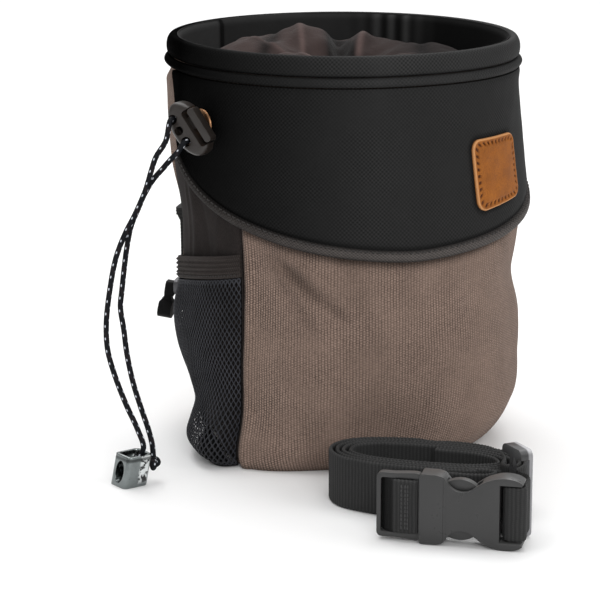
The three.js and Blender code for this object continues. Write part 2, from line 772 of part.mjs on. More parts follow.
/** Frame of the cord lock: x along its length, y across it towards the button, z out of its face. */
function lockFrame() {
  const out = new THREE.Vector3(Math.sin(radians(LOCK_FACING)), -Math.cos(radians(LOCK_FACING)), 0);
  const level = new THREE.Vector3(Math.cos(radians(LOCK_FACING)), Math.sin(radians(LOCK_FACING)), 0);
  const up = new THREE.Vector3(0, 0, 1);
  const lean = radians(LOCK_LEAN);
  const along = level.clone().multiplyScalar(Math.sin(lean)).addScaledVector(up, -Math.cos(lean));
  const across = out.clone().cross(along);
  const frame = new THREE.Group();
  frame.matrixAutoUpdate = false;
  frame.matrix.makeBasis(along, across, out);
  const seat = wallPoint(EYELET_ANGLE, EYELET_LEVEL, EYELET_SEAT).addScaledVector(out, LOCK_STAND_OFF);
  frame.matrix.setPosition(seat);
  return frame;
}

// Floor of the slot that the button's finger slides in
const LOCK_SLOT_FLOOR = -LOCK_WIDTH / 2 + 2.3;

/** Body of the cord lock: an oval block with two cord holes, a notch and a slot for the button. */
function lockBody() {
  const oval = new THREE.Shape();
  oval.absellipse(0, 0, LOCK_LENGTH / 2, LOCK_WIDTH / 2, 0, Math.PI * 2);
  const block = new THREE.ExtrudeGeometry(oval, {
    depth: LOCK_THICK - 1.6,
    bevelThickness: 0.8,
    bevelSize: 0.8,
    bevelOffset: -0.8,
    bevelSegments: 1,
    curveSegments: 12,
  }).translate(0, 0, -LOCK_THICK / 2 + 0.8);
  const notchFloor = LOCK_WIDTH / 2 + BUTTON_PROUD - BUTTON_WIDTH - BUTTON_TRAVEL - GAP;
  const notch = new THREE.BoxGeometry(BUTTON_LENGTH + 2 * GAP, 20, 20);
  notch.translate(LOCK_SHIFT, notchFloor + 10, 0);
  const slotLength = notchFloor - LOCK_SLOT_FLOOR;
  const slot = new THREE.BoxGeometry(FINGER_WIDTH + 2 * GAP, slotLength + 0.1, FINGER_THICK + 2 * GAP);
  slot.translate(-LOCK_SHIFT, LOCK_SLOT_FLOOR + slotLength / 2 + 0.05, 0);
  const window = new THREE.CylinderGeometry(LOCK_WINDOW / 2, LOCK_WINDOW / 2, LOCK_THICK, 12);
  window.rotateX(Math.PI / 2).translate(-LOCK_SHIFT, LOCK_BORE_SIDE, LOCK_THICK / 2);
  const bores = [-1, 1].map((side) =>
    new THREE.CylinderGeometry(LOCK_BORE / 2, LOCK_BORE / 2, 20, 12)
      .rotateX(Math.PI / 2)
      .translate((side * LOCK_BORE_SPACING) / 2 - LOCK_SHIFT, LOCK_BORE_SIDE, 0),
  );
  return cut(block, notch, slot, window, ...bores);
}

/** Sprung button of the cord lock: a bar with a finger that slides in the body. */
function lockButton() {
  const outer = LOCK_WIDTH / 2 + BUTTON_PROUD;
  const outline = roundedRectangle(BUTTON_LENGTH, BUTTON_WIDTH, 1.2, LOCK_SHIFT, outer - BUTTON_WIDTH / 2);
  const bar = plate(outline, BUTTON_THICK, 3).translate(0, 0, BUTTON_FORWARD);
  const fingerEnd = LOCK_SLOT_FLOOR + BUTTON_TRAVEL + 2 * GAP;
  const fingerTop = outer - BUTTON_WIDTH + 0.5;
  const finger = new THREE.BoxGeometry(FINGER_WIDTH, fingerTop - fingerEnd, FINGER_THICK);
  finger.translate(-LOCK_SHIFT, (fingerTop + fingerEnd) / 2, 0);
  return geometryOf(solidOf(bar).add(solidOf(finger)));
}

/** Round cord along a list of points. */
function cordTube(points, steps) {
  const section = new THREE.Shape();
  section.absarc(0, 0, CORD_DIAMETER / 2, 0, Math.PI * 2);
  const path = new THREE.CatmullRomCurve3(points, false, "centripetal");
  return new THREE.ExtrudeGeometry(section, { extrudePath: path, steps, curveSegments: 4, bevelEnabled: false });
}

/** Points of a strand: out of the eyelet, through one hole of the lock and down its route. */
function strandPoints(frame, side, route) {
  const hole = (out) =>
    new THREE.Vector3((side * LOCK_BORE_SPACING) / 2 - LOCK_SHIFT, LOCK_BORE_SIDE, out).applyMatrix4(
      frame.matrix,
    );
  const inside = wallPoint(EYELET_ANGLE, EYELET_LEVEL, EYELET_SEAT - 1.5);
  inside.z -= side * 1.3;
  const mouth = wallPoint(EYELET_ANGLE, EYELET_LEVEL, EYELET_SEAT + 2);
  mouth.z -= side * 1.5;
  const half = LOCK_THICK / 2;
  const threaded = [inside, mouth, hole(-half - 0.6), hole(0), hole(half + 1.2)];
  return [...threaded, ...route.map((p) => new THREE.Vector3(...p))];
}

/** Metal cube on the cord's end, with a hole down through it and one through its side. */
function cordEndCube() {
  const block = new THREE.ExtrudeGeometry(roundedRectangle(CUBE_SIDE - 1.2, CUBE_SIDE - 1.2, 1), {
    depth: CUBE_HEIGHT - 1.2,
    bevelThickness: 0.6,
    bevelSize: 0.6,
    bevelSegments: 1,
    curveSegments: 2,
  }).translate(0, 0, 0.6);
  const down = new THREE.CylinderGeometry(CUBE_BORE / 2, CUBE_BORE / 2, CUBE_HEIGHT, 12);
  down.rotateX(Math.PI / 2).translate(0, 0, CUBE_HEIGHT / 2 + 3);
  const through = new THREE.CylinderGeometry(CUBE_BORE / 2, CUBE_BORE / 2, CUBE_SIDE * 2, 12);
  through.rotateZ(Math.PI / 2).translate(0, 0, CUBE_HEIGHT / 2);
  return cut(block, down, through);
}

/** Webbing loop on the back, tacked down at both ends. */
function beltLoop(angle) {
  const halfAngle = ((LOOP_WIDTH / 2 / (BAG_WIDTH / 2)) * 180) / Math.PI;
  const rows = 10;
  const share = BARTACK / (LOOP_HIGH - LOOP_LOW);
  const open = (v) => clamp((Math.min(v, 1 - v) - share * 0.6) / (share * 0.8), 0, 1);
  const sheet = (outer) => (u, v) => {
    const stand = GAP + LOOP_ROOM * open(v);
    const thick = LOOP_THICK + (1 - open(v)) * LOOP_THICK;
    return wallPoint(
      lerp(angle - halfAngle, angle + halfAngle, u),
      lerp(LOOP_LOW, LOOP_HIGH, v),
      outer ? stand + thick : stand,
    );
  };
  return wallBetween(sheet(true), sheet(false), 3, rows);
}

/** Plain zip across the back. */
function rearZip() {
  const sheet = (out) => (u, v) => {
    const angle = lerp(ZIP_REACH, 360 - ZIP_REACH, u);
    const height = ZIP_LEVEL + lerp(-ZIP_HEIGHT / 2, ZIP_HEIGHT / 2, v);
    return wallPoint(angle, height, GAP + 0.1 + out);
  };
  return wallBetween(sheet(ZIP_THICK), sheet(0), 16, 1);
}

// Slider of the rear zip sits near its left end
const ZIP_SLIDER_ANGLE = -(ZIP_REACH + 5);

/** Frame on the back at the zip's slider: x to the bag's left end of the zip, y up, z out of the bag. */
function zipFrame() {
  const frame = new THREE.Group();
  const seat = wallPoint(ZIP_SLIDER_ANGLE, ZIP_LEVEL, ZIP_THICK + 2 * GAP + 0.2);
  frame.position.copy(seat);
  const out = new THREE.Vector3(Math.sin(radians(ZIP_SLIDER_ANGLE)), -Math.cos(radians(ZIP_SLIDER_ANGLE)), 0);
  const up = new THREE.Vector3(0, 0, 1);
  frame.quaternion.setFromRotationMatrix(new THREE.Matrix4().makeBasis(up.clone().cross(out), up, out));
  return frame;
}

/** Small block of the zip's slider. */
function zipSlider() {
  const bar = plate(roundedRectangle(SLIDER_LENGTH, SLIDER_WIDTH, 1.5), SLIDER_THICK, 2);
  return bar.translate(0, 0, SLIDER_THICK / 2);
}

/** Moulded pull that hangs from the slider, with a waist between its two lobes. */
function zipPuller() {
  const shape = new THREE.Shape();
  shape.moveTo(-2.2, 2.5);
  shape.lineTo(2.2, 2.5);
  shape.quadraticCurveTo(3.4, -1.5, 1.6, -4);
  shape.quadraticCurveTo(4.4, -6, 3.9, -9.5);
  shape.quadraticCurveTo(0, -13, -3.9, -9.5);
  shape.quadraticCurveTo(-4.4, -6, -1.6, -4);
  shape.quadraticCurveTo(-3.4, -1.5, -2.2, 2.5);
  return plate(shape, 3, 3).rotateX(radians(-8)).translate(0, -1.5, SLIDER_THICK + GAP + 2.2);
}

/** Upright strip of webbing along a path of points {x, y} with its lower edge at z. */
function webbingStrip(path) {
  const sections = path.map((p, k) => {
    const along = path[Math.min(k + 1, path.length - 1)].clone().sub(path[Math.max(k - 1, 0)]);
    const side = new THREE.Vector2(-along.y, along.x).normalize().multiplyScalar(WEBBING_THICK / 2);
    return { p, side };
  });
  const sheet = (sign) => (u, v) => {
    const { p, side } = sections[Math.round(u * (sections.length - 1))];
    return new THREE.Vector3(p.x + sign * side.x, p.y + sign * side.y, p.z + v * WEBBING_WIDTH);
  };
  return wallBetween(sheet(-1), sheet(1), sections.length - 1, 1);
}

// Lowest edge of the webbing in the coil and in the buckle, and the level of the buckle's middle
const COIL_LOW = 0.3;
const BUCKLE_MIDDLE = BUCKLE_HEIGHT / 2;
const BUCKLE_LOW = BUCKLE_MIDDLE - WEBBING_WIDTH / 2;

/** Point on the coil at a turn in degrees and a number of layers in from the outside. */
function coilPoint(turn, layer) {
  const a = COIL_HALF_LENGTH - layer * WEBBING_PITCH;
  const b = COIL_HALF_WIDTH - layer * WEBBING_PITCH;
  const c = Math.cos(radians(turn));
  const s = Math.sin(radians(turn));
  const power = COIL_SQUARENESS;
  const radius = (Math.abs(c / a) ** power + Math.abs(s / b) ** power) ** (-1 / power);
  const flat = new THREE.Vector2(radius * c, radius * s);
  flat.rotateAround(new THREE.Vector2(), radians(COIL_TURN));
  return new THREE.Vector3(flat.x + COIL_X, flat.y + COIL_Y, COIL_LOW);
}

/** Smooth points through a list of points, a step apart. */
function smoothRoute(points, step) {
  const curve = new THREE.CatmullRomCurve3(points, false, "centripetal");
  return curve.getSpacedPoints(Math.max(Math.round(curve.getLength() / step), 2));
}

/** Point of the webbing in the buckle: along it from the female part's left end, and back from its middle. */
function bucklePoint(along, back) {
  const flat = new THREE.Vector2(along, back).rotateAround(new THREE.Vector2(), radians(BUCKLE_TURN));
  return new THREE.Vector3(flat.x + BUCKLE_X, flat.y + BUCKLE_Y, BUCKLE_LOW);
}

const WRAP_RADIUS = BAR_THICK / 2 + 2 * GAP + WEBBING_THICK / 2;

/** Quarter turn of webbing round a bar's edge, from one turn to another in degrees. */
function quarterWrap(along, from, to) {
  return [0, 1, 2, 3].map((k) => {
    const turn = radians(lerp(from, to, k / 3));
    return bucklePoint(along + WRAP_RADIUS * Math.cos(turn), WRAP_RADIUS * Math.sin(turn));
  });
}

/** Path of the whole belt: round the female part's bar, through the slider, into the coil and back out. */
function beltPath() {
  const hand = (list) => list.map((p) => new THREE.Vector3(...p));
  const inset = BAR_THICK / 2;
  const tail = [bucklePoint(FEMALE_BAR_LEFT + 0.3, 8.4), bucklePoint(FEMALE_BAR_LEFT - 0.9, 4.8)];
  const femaleWrap = [
    ...quarterWrap(FEMALE_BAR_LEFT + inset, 180, 270),
    ...quarterWrap(FEMALE_BAR_RIGHT - inset, 270, 360),
  ];
  const afterBar = [bucklePoint(FEMALE_BAR_RIGHT + 0.6, 3.4), bucklePoint(FEMALE_BAR_RIGHT - 0.6, 7)];
  const layersIn = [];
  for (let turn = 110; turn <= COIL_TURNS * 360; turn += 18) layersIn.push(coilPoint(turn, turn / 180));
  const end = COIL_TURNS * 360 + 6;
  const fold = [0.1, 0.3, 0.5, 0.7, 0.9].map((share) =>
    coilPoint(end + 3.5 * Math.sin(Math.PI * share), end / 180 + share),
  );
  const layersOut = [];
  for (let turn = COIL_TURNS * 360; turn >= -20; turn -= 18) layersOut.push(coilPoint(turn, turn / 180 + 1));
  const maleWrap = [
    bucklePoint(MALE_BAR_RIGHT - 1.4, WRAP_RADIUS + 0.2),
    ...quarterWrap(MALE_BAR_LEFT + inset, 90, 180),
    ...quarterWrap(MALE_BAR_LEFT + inset, 180, 270).slice(1),
    bucklePoint(MALE_BAR_RIGHT + 0.8, -WRAP_RADIUS),
  ];
  const inward = smoothRoute([...afterBar, ...hand(BELT_LEAD_IN), ...layersIn], 7.5);
  const outward = smoothRoute([...layersOut, ...hand(BELT_LEAD_OUT)], 7.5);
  return [...tail, ...femaleWrap, ...inward, ...fold, ...outward, ...maleWrap];
}

/** Outline that runs along a list of points and back mirrored across its length. */
function mirroredOutline(points) {
  const mirrored = [...points].reverse().map(([x, y]) => [x, -y]);
  return new THREE.Shape([...points, ...mirrored].map(([x, y]) => new THREE.Vector2(x, y)));
}

/** Stands a plate drawn in the buckle's plane upright at the buckle's place. */
function standBuckle(geometry) {
  return geometry
    .rotateX(Math.PI / 2)
    .rotateZ(radians(BUCKLE_TURN))
    .translate(BUCKLE_X, BUCKLE_Y, BUCKLE_MIDDLE);
}

/** Box in the buckle's plane from one place along it to another, as tall and thick as given. */
function buckleBox(from, to, height, thickness) {
  return new THREE.BoxGeometry(to - from, height, thickness).translate((from + to) / 2, 0, 0);
}

/** Female part: a flat housing with waisted sides, a cavity for the prongs and a bar between two rails. */
function buckleFemale() {
  const half = BUCKLE_HEIGHT / 2;
  const outline = mirroredOutline([
    [0, half - 1.3],
    [0.6, half - 0.4],
    [6.5, half - 0.5],
    [8.6, half - 1.2],
    [9.8, half - 2.7],
    [11.2, 8.9],
    [13, 7.7],
    [15.4, 7.2],
    [18, 7.7],
    [20.4, 9.4],
    [23, 11.2],
    [26, 12.5],
    [29, half - 0.1],
    [32, half],
    [34.8, half - 0.5],
    [BUCKLE_LENGTH - 0.6, half - 1.5],
    [BUCKLE_LENGTH, BUCKLE_ROOM + 0.6],
    [BUCKLE_LENGTH - 0.6, BUCKLE_ROOM],
    [BUCKLE_SLOT, BUCKLE_ROOM],
  ]);
  const block = new THREE.ExtrudeGeometry(outline, {
    depth: BUCKLE_THICK - 2,
    bevelThickness: 1,
    bevelSize: 0.5,
    bevelOffset: -0.5,
    bevelSegments: 1,
  }).translate(0, 0, 1 - BUCKLE_THICK / 2);
  const bar = buckleBox(FEMALE_BAR_LEFT, FEMALE_BAR_RIGHT, 2 * BUCKLE_ROOM + 2, BAR_THICK);
  const cavity = solidOf(buckleBox(-1, 23, 2 * BUCKLE_ROOM, FRAME_THICK + 2 * GAP));
  return standBuckle(geometryOf(solidOf(block).subtract(cavity).add(solidOf(bar))));
}

/** Male part: an open frame with a flat bar for the webbing, and a guide and two prongs in the cavity. */
function buckleMale() {
  const half = FRAME_HEIGHT / 2;
  const outline = mirroredOutline([
    [-FRAME_LENGTH, half - 2],
    [-FRAME_LENGTH + 0.6, half - 0.6],
    [-FRAME_LENGTH + 2, half],
    [-GAP, half],
    [-GAP, 10.3],
    [10, 10.3],
    [12.4, 11.1],
    [15.4, 11.3],
    [18.4, 10.4],
    [21.6, 7.8],
    [20.6, 6.6],
    [5, 6.6],
    [3.8, 5],
    [5, 3],
    [21, 2.6],
  ]);
  const openings = [
    buckleBox(-FRAME_LENGTH + 2, MALE_BAR_LEFT, 2 * FRAME_ROOM, 20),
    buckleBox(MALE_BAR_RIGHT, -1.6, 2 * FRAME_ROOM, 20),
    buckleBox(MALE_BAR_LEFT - 1, MALE_BAR_RIGHT + 1, 2 * FRAME_ROOM, 5).translate(0, 0, BAR_THICK / 2 + 2.5),
    buckleBox(MALE_BAR_LEFT - 1, MALE_BAR_RIGHT + 1, 2 * FRAME_ROOM, 5).translate(0, 0, -BAR_THICK / 2 - 2.5),
  ];
  return standBuckle(cut(plate(outline, FRAME_THICK), ...openings));
}

/** Sliding keeper on the belt: a tall frame, with the webbing between its middle bar and its two end bars. */
function beltSlider() {
  const room = WEBBING_THICK / 2 + GAP;
  const frame = plate(roundedRectangle(KEEPER_LENGTH, KEEPER_HEIGHT, 2.4), KEEPER_THICK, 3);
  const side = (from, to, low, high) =>
    new THREE.BoxGeometry(to - from, KEEPER_ROOM, high - low).translate((from + to) / 2, 0, (low + high) / 2);
  const end = KEEPER_LENGTH / 2;
  const cutters = [
    side(-end - 1, end + 1, -room, room),
    side(-end - 1, -1.4, -5, 0),
    side(1.4, end + 1, -5, 0),
    side(-end + 2.4, end - 2.4, 0, 5),
    side(-end - 1, end + 1, -5, -room - KEEPER_BAR),
    side(-end - 1, end + 1, room + KEEPER_BAR, 5),
  ];
  const [x, y] = KEEPER_PLACE;
  return cut(frame, ...cutters)
    .rotateX(Math.PI / 2)
    .rotateZ(radians(KEEPER_TURN))
    .translate(x, y, KEEPER_HEIGHT / 2);
}

add("canvas_body", canvasBody(), MATERIALS.canvas);
add("side_panel", sidePanelShape(0, PANEL_THICK, 0), MATERIALS.sideNylon);
add("collar", collar(), MATERIALS.nylon);
add("collar_binding", collarBinding(), MATERIALS.binding);
add("rim_band", rimBand(), MATERIALS.nylon);
add("rim_piping", rimPiping(), MATERIALS.nylon);
add("inner_band", innerBand(), MATERIALS.nylon);
add("closure_cuff", closureCuff(), MATERIALS.fleece);
add("mesh_pocket", meshPocket(), MATERIALS.mesh);
add("pocket_elastic", pocketElastic(), MATERIALS.sideNylon);
add("leather_patch", leatherPatch(), MATERIALS.leather);
add("eyelet", eyelet(), MATERIALS.bronze);
add("belt_loop_left", beltLoop(-LOOP_ANGLE), MATERIALS.webbing);
add("belt_loop_right", beltLoop(LOOP_ANGLE), MATERIALS.webbing);
add("rear_zip", rearZip(), MATERIALS.sideNylon);

const zip = zipFrame();
group.add(zip);
add("zip_slider", zipSlider(), MATERIALS.gunmetal, zip);
add("zip_puller", zipPuller(), MATERIALS.webbing, zip);

const lock = lockFrame();
group.add(lock);
add("cord_lock_body", lockBody(), MATERIALS.lockPlastic, lock);
add("cord_lock_button", lockButton(), MATERIALS.lockPlastic, lock);
add("drawcord_a", cordTube(strandPoints(lock, -1, STRAND_A_ROUTE), 38), MATERIALS.cord);
add("drawcord_b", cordTube(strandPoints(lock, 1, STRAND_B_ROUTE), 38), MATERIALS.cord);

const cube = add("cord_end_cube", cordEndCube(), MATERIALS.gunmetal);
cube.position.set(CUBE_X, CUBE_Y, 0);
cube.rotation.z = radians(CUBE_TURN);
const knot = add("cord_knot", new THREE.SphereGeometry(KNOT_DIAMETER / 2, 8, 6), MATERIALS.cord);
knot.position.set(...KNOT_PLACE);

add("belt_webbing", webbingStrip(beltPath()), MATERIALS.webbing);
add("buckle_male", buckleMale(), MATERIALS.bucklePlastic);
add("buckle_female", buckleFemale(), MATERIALS.bucklePlastic);
add("belt_slider", beltSlider(), MATERIALS.bucklePlastic);

export default group;
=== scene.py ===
"""A climbing chalk bag with its drawcord and its coiled waist belt, in cloth, leather, plastic and metal.

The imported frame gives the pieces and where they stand. Each sub-assembly below is a class that keeps its
sizes in millimetres, in the frame's axes, and builds its meshes in metres. The bag stands on its base with
its front towards -Y, and angles go round it in degrees from the front, positive towards +X.
"""
import logging
import math
from collections.abc import Callable
from dataclasses import dataclass, replace
from enum import Enum
from functools import cached_property

import bpy
import numpy as np
from mathutils import Matrix, Vector
from numpy.typing import NDArray


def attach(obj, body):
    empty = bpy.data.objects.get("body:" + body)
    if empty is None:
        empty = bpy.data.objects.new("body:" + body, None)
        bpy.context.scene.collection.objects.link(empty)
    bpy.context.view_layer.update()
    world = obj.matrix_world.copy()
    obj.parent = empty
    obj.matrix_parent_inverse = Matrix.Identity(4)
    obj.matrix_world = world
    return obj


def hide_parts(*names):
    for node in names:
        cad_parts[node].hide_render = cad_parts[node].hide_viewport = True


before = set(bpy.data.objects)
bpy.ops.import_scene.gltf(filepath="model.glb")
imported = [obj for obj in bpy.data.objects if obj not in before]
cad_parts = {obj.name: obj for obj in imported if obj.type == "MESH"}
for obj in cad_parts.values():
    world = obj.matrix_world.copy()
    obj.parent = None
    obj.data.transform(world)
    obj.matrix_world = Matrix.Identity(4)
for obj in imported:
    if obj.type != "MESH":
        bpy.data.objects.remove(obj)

Array = NDArray[np.float64]
Attributes = dict[str, list[Array]]
Colour = tuple[float, float, float]
Place = tuple[float, float, float]
Spot = tuple[float, float]
Mesh = bpy.types.Mesh
Piece = bpy.types.Object
Socket = bpy.types.NodeSocket
Value = Socket | float | Colour

MM = 0.001
BACKWARD = np.array([0.0, 1.0, 0.0])
UPWARD = np.array([0.0, 0.0, 1.0])
BEVEL_ANGLE = 32.0
CUBE_LEAN = 0.166
BAG_BODY = "bag"
BUTTON_BODY = "lock_button"
PATTERN = "pattern"
LOG = logging.getLogger("chalk_bag")


def radians(angle: Array | float) -> Array:
    """Degrees to radians."""
    return np.radians(angle)


def blend(low: Array | float, high: Array | float, share: Array | float) -> Array:
    """Straight mix from low at share 0 to high at share 1."""
    return low + (np.asarray(high) - low) * share


def soft_step(low: float, high: float, value: Array) -> Array:
    """Smooth rise 3t^2 - 2t^3 from 0 at low to 1 at high."""
    t = np.clip((value - low) / (high - low), 0.0, 1.0)
    return t * t * (3.0 - 2.0 * t)


def bump(value: Array) -> Array:
    """Bell curve exp(-value^2)."""
    return np.exp(-value * value)


def full_turn(steps: int) -> Array:
    """Angles of a full turn in radians, the last one on the first."""
    return np.linspace(0.0, 2.0 * np.pi, steps + 1)


def crossed(*axes: Array) -> Array:
    """Grid of every combination of some coordinates."""
    return np.stack(np.meshgrid(*axes, indexing="ij"), axis=-1)


def shares(rows: int, columns: int) -> tuple[Array, Array]:
    """Shares from 0 to 1 along both ways of a grid."""
    return np.meshgrid(np.linspace(0.0, 1.0, rows), np.linspace(0.0, 1.0, columns), indexing="ij")


def soft_noise(x: Array, y: Array, size: float, seed: int, waves: int = 7) -> Array:
    """Smooth uneven waves: the mean of sines of about one size in seeded directions.

    Args:
        x: First coordinate, in millimetres.
        y: Second coordinate, in millimetres.
        size: Typical wavelength.
        seed: Seed of the directions and phases.
        waves: How many sines are added.

    Returns:
        Values of about -1 to 1, as an array like x.
    """
    rng = np.random.default_rng(seed)
    turn = rng.uniform(0.0, 2.0 * np.pi, waves)
    phase = rng.uniform(0.0, 2.0 * np.pi, waves)
    length = size * rng.uniform(0.6, 1.6, waves)
    total = sum(
        np.sin(2.0 * np.pi * (x * math.cos(t) + y * math.sin(t)) / s + p)
        for t, p, s in zip(turn, phase, length)
    )
    return total * (1.6 / waves)


def crease(x: Array, y: Array, start: Spot, end: Spot, width: float) -> Array:
    """Bell-shaped ridge along a straight line, exp(-(distance / width)^2), fading past both its ends.

    Args:
        x: First coordinate of the points.
        y: Second coordinate of the points.
        start: Where the line starts.
        end: Where it ends.
        width: Distance at which the ridge has fallen to a third.

    Returns:
        Height of the ridge from 0 to 1 at each point.
    """
    ax, ay = start
    bx, by = end
    long = math.hypot(bx - ax, by - ay)
    ux, uy = (bx - ax) / long, (by - ay) / long
    along = (x - ax) * ux + (y - ay) * uy
    across = (y - ay) * ux - (x - ax) * uy
    past = np.maximum(np.maximum(-along, along - long), 0.0)
    taper = np.clip(1.0 - 0.25 * np.abs(2.0 * along / long - 1.0), 0.5, 1.0)
    return bump(across / (width * taper)) * bump(past / (1.5 * width))


def creases(x: Array, y: Array, rows: tuple[tuple, ...]) -> Array:
    """Sum of creases, each row a start, an end, a width and a rise."""
    return sum(rise * crease(x, y, start, end, width) for start, end, width, rise in rows)


def smooth_route(points: Array, step: float) -> Array:
    """Evenly spaced points on the centripetal spline through a list of points.

    Each stretch is the cubic whose end slopes are those of the non-uniform spline with knots spaced by the
    square root of the distance, so the line runs through every point without loops.

    Args:
        points: The points, one row each.
        step: Distance between the points that come back.

    Returns:
        The points of the smooth line, one row each.
    """
    before = 2.0 * points[0] - points[1]
    after = 2.0 * points[-1] - points[-2]
    p = np.vstack([before, points, after])
    gap = np.sqrt(np.maximum(np.linalg.norm(np.diff(p, axis=0), axis=1), 1e-6))[:, None]
    d0, d1, d2 = gap[:-2], gap[1:-1], gap[2:]
    p0, p1, p2, p3 = p[:-3], p[1:-2], p[2:-1], p[3:]
    slope_in = ((p1 - p0) / d0 - (p2 - p0) / (d0 + d1) + (p2 - p1) / d1) * d1
    slope_out = ((p2 - p1) / d1 - (p3 - p1) / (d1 + d2) + (p3 - p2) / d2) * d1
    t = np.linspace(0.0, 1.0, 48, endpoint=False)[None, :, None]
    a, b = p1[:, None], p2[:, None]
    m, n = slope_in[:, None], slope_out[:, None]
    cubic = (2 * a - 2 * b + m + n) * t**3 + (3 * b - 3 * a - 2 * m - n) * t**2 + m * t + a
    dense = np.vstack([cubic.reshape(-1, points.shape[1]), points[-1:]])
    return even_points(dense, step)


def even_points(line: Array, step: float) -> Array:
    """Points a step apart along a line of points, both ends kept."""
    length = running_length(line)
    count = max(int(round(length[-1] / step)), 2)
    want = np.linspace(0.0, length[-1], count + 1)
    return np.stack([np.interp(want, length, line[:, k]) for k in range(line.shape[1])], axis=1)


def running_length(line: Array) -> Array:
    """Distance along a line of points, from 0 at its first."""
    return np.concatenate([[0.0], np.cumsum(np.linalg.norm(np.diff(line, axis=0), axis=1))])


def unit(vectors: Array) -> Array:
    """Vectors of length one."""
    return vectors / np.maximum(np.linalg.norm(vectors, axis=-1, keepdims=True), 1e-9)


@dataclass
class Surface:
    """Faces of a surface with the pattern's coordinates on it, both in millimetres."""

    points: Array
    pattern: Array
    faces: NDArray[np.int64]

    @property
    def count(self) -> int:
        """How many points it has."""
        return len(self.points)


def grid_faces(rows: int, columns: int) -> NDArray[np.int64]:
    """Four point numbers of each face of a grid, in one turning sense."""
    number = np.arange(rows * columns).reshape(rows, columns)
    corners = (number[:-1, :-1], number[1:, :-1], number[1:, 1:], number[:-1, 1:])
    return np.stack([c.ravel() for c in corners], axis=1)


def grid(points: Array, pattern: Array | None = None) -> Surface:
    """Surface of a grid of points, its pattern laid out by the running length along both of its ways.

    Args:
        points: Grid of points, rows by columns by three.
        pattern: Pattern coordinates, or nothing to measure them on the middle row and column.

    Returns:
        The surface.
    """
    rows, columns = points.shape[:2]
    if pattern is None:
        pattern = grid_pattern(points)
    return Surface(points.reshape(-1, 3), pattern.reshape(-1, 2), grid_faces(rows, columns))


def grid_pattern(points: Array) -> Array:
    """Running lengths along a grid's middle column and middle row, as coordinates of all its points."""
    rows, columns = points.shape[:2]
    along = running_length(points[:, columns // 2])
    across = running_length(points[rows // 2])
    return crossed(along, across)


def copies(points: Array, pattern: Array) -> Surface:
    """Surface of many grids of one shape, stacked along the first axis."""
    count, rows, columns = points.shape[:3]
    faces = grid_faces(rows, columns)[None] + (np.arange(count) * rows * columns)[:, None, None]
    return Surface(points.reshape(-1, 3), pattern.reshape(-1, 2), faces.reshape(-1, 4))


def shell(outer: Array, inner: Array, pattern: Array | None = None, closed: bool = False) -> list[Surface]:
    """A closed wall of cloth between two sheets of points of the same shape.

    Args:
        outer: The sheet that shows, rows by columns by three.
        inner: The sheet behind it.
        pattern: Pattern coordinates of the outer sheet, used for both.
        closed: Whether the first way runs round in a ring, so that it has no end faces.

    Returns:
        The outer sheet, the inner one turned over and the strips along the edges.
    """
    if pattern is None:
        pattern = grid_pattern(outer)
    start, end = pattern[:, :1].repeat(2, axis=1), pattern[:, -1:].repeat(2, axis=1)
    made = [
        grid(outer, pattern),
        grid(inner[:, ::-1], pattern[:, ::-1]),
        grid(np.stack([inner[:, 0], outer[:, 0]], axis=1), start),
        grid(np.stack([outer[:, -1], inner[:, -1]], axis=1), end),
    ]
    if not closed:
        made.append(grid(np.stack([inner[0], outer[0]]), pattern[:1].repeat(2, axis=0)))
        made.append(grid(np.stack([outer[-1], inner[-1]]), pattern[-1:].repeat(2, axis=0)))
    return made


def capped_tube(points: Array, pattern: Array | None = None) -> list[Surface]:
    """A tube of rings, closed at both ends: rows along it and columns round it, the last on the first."""
    made = [grid(points, pattern)]
    for ring, order in ((points[0], 1), (points[-1], -1)):
        centre = np.broadcast_to(ring[:-1].mean(axis=0), ring.shape)
        fan = np.stack([centre, ring][::order])
        made.append(grid(fan, np.zeros((*fan.shape[:2], 2))))
    return made


def round_tube(path: Array, radius: Array | float, sides: int, reference: Array) -> Array:
    """Rings of a round tube: path + radius (cos t n + sin t b), with n across the path and the reference.

    Args:
        path: Points of the tube's middle.
        radius: Radius, one number or one for each point.
        sides: Faces round the tube.
        reference: A direction, or one for each point, that the path never runs along.

    Returns:
        Grid of points, path by sides + 1 by three.
    """
    along = unit(np.gradient(path, axis=0))
    normal = unit(np.cross(along, np.broadcast_to(reference, path.shape)))
    other = np.cross(along, normal)
    turn = full_turn(sides)
    if np.ndim(radius) == 1:
        radius = np.asarray(radius, float)[:, None]
    reach = np.broadcast_to(radius, (len(path), sides + 1))
    ring = normal[:, None] * np.cos(turn)[None, :, None] + other[:, None] * np.sin(turn)[None, :, None]
    return path[:, None] + ring * reach[..., None]


def rounded_loop(half_width: float, half_height: float, power: float, count: int) -> tuple[Array, Array]:
    """Closed outline |x/a|^p + |y/b|^p = 1, its last point on its first."""
    turn = full_turn(count)
    c, s = np.cos(turn), np.sin(turn)
    reach = (np.abs(c) ** power + np.abs(s) ** power) ** (-1.0 / power)
    return half_width * reach * c, half_height * reach * s


def first_only(surfaces: list[Surface], values: Array, others: float = 0.0) -> list[Array]:
    """Values for the points of the first surface, and one number for the points of all the others."""
    return [values, *(np.full(surface.count, others) for surface in surfaces[1:])]


def spin(degrees: float, axis: str) -> Matrix:
    """Rotation about an axis."""
    return Matrix.Rotation(math.radians(degrees), 4, axis)


def shift(place: Place | Vector) -> Matrix:
    """Move to a place in millimetres, for a mesh in metres."""
    return Matrix.Translation(Vector(place) * MM)


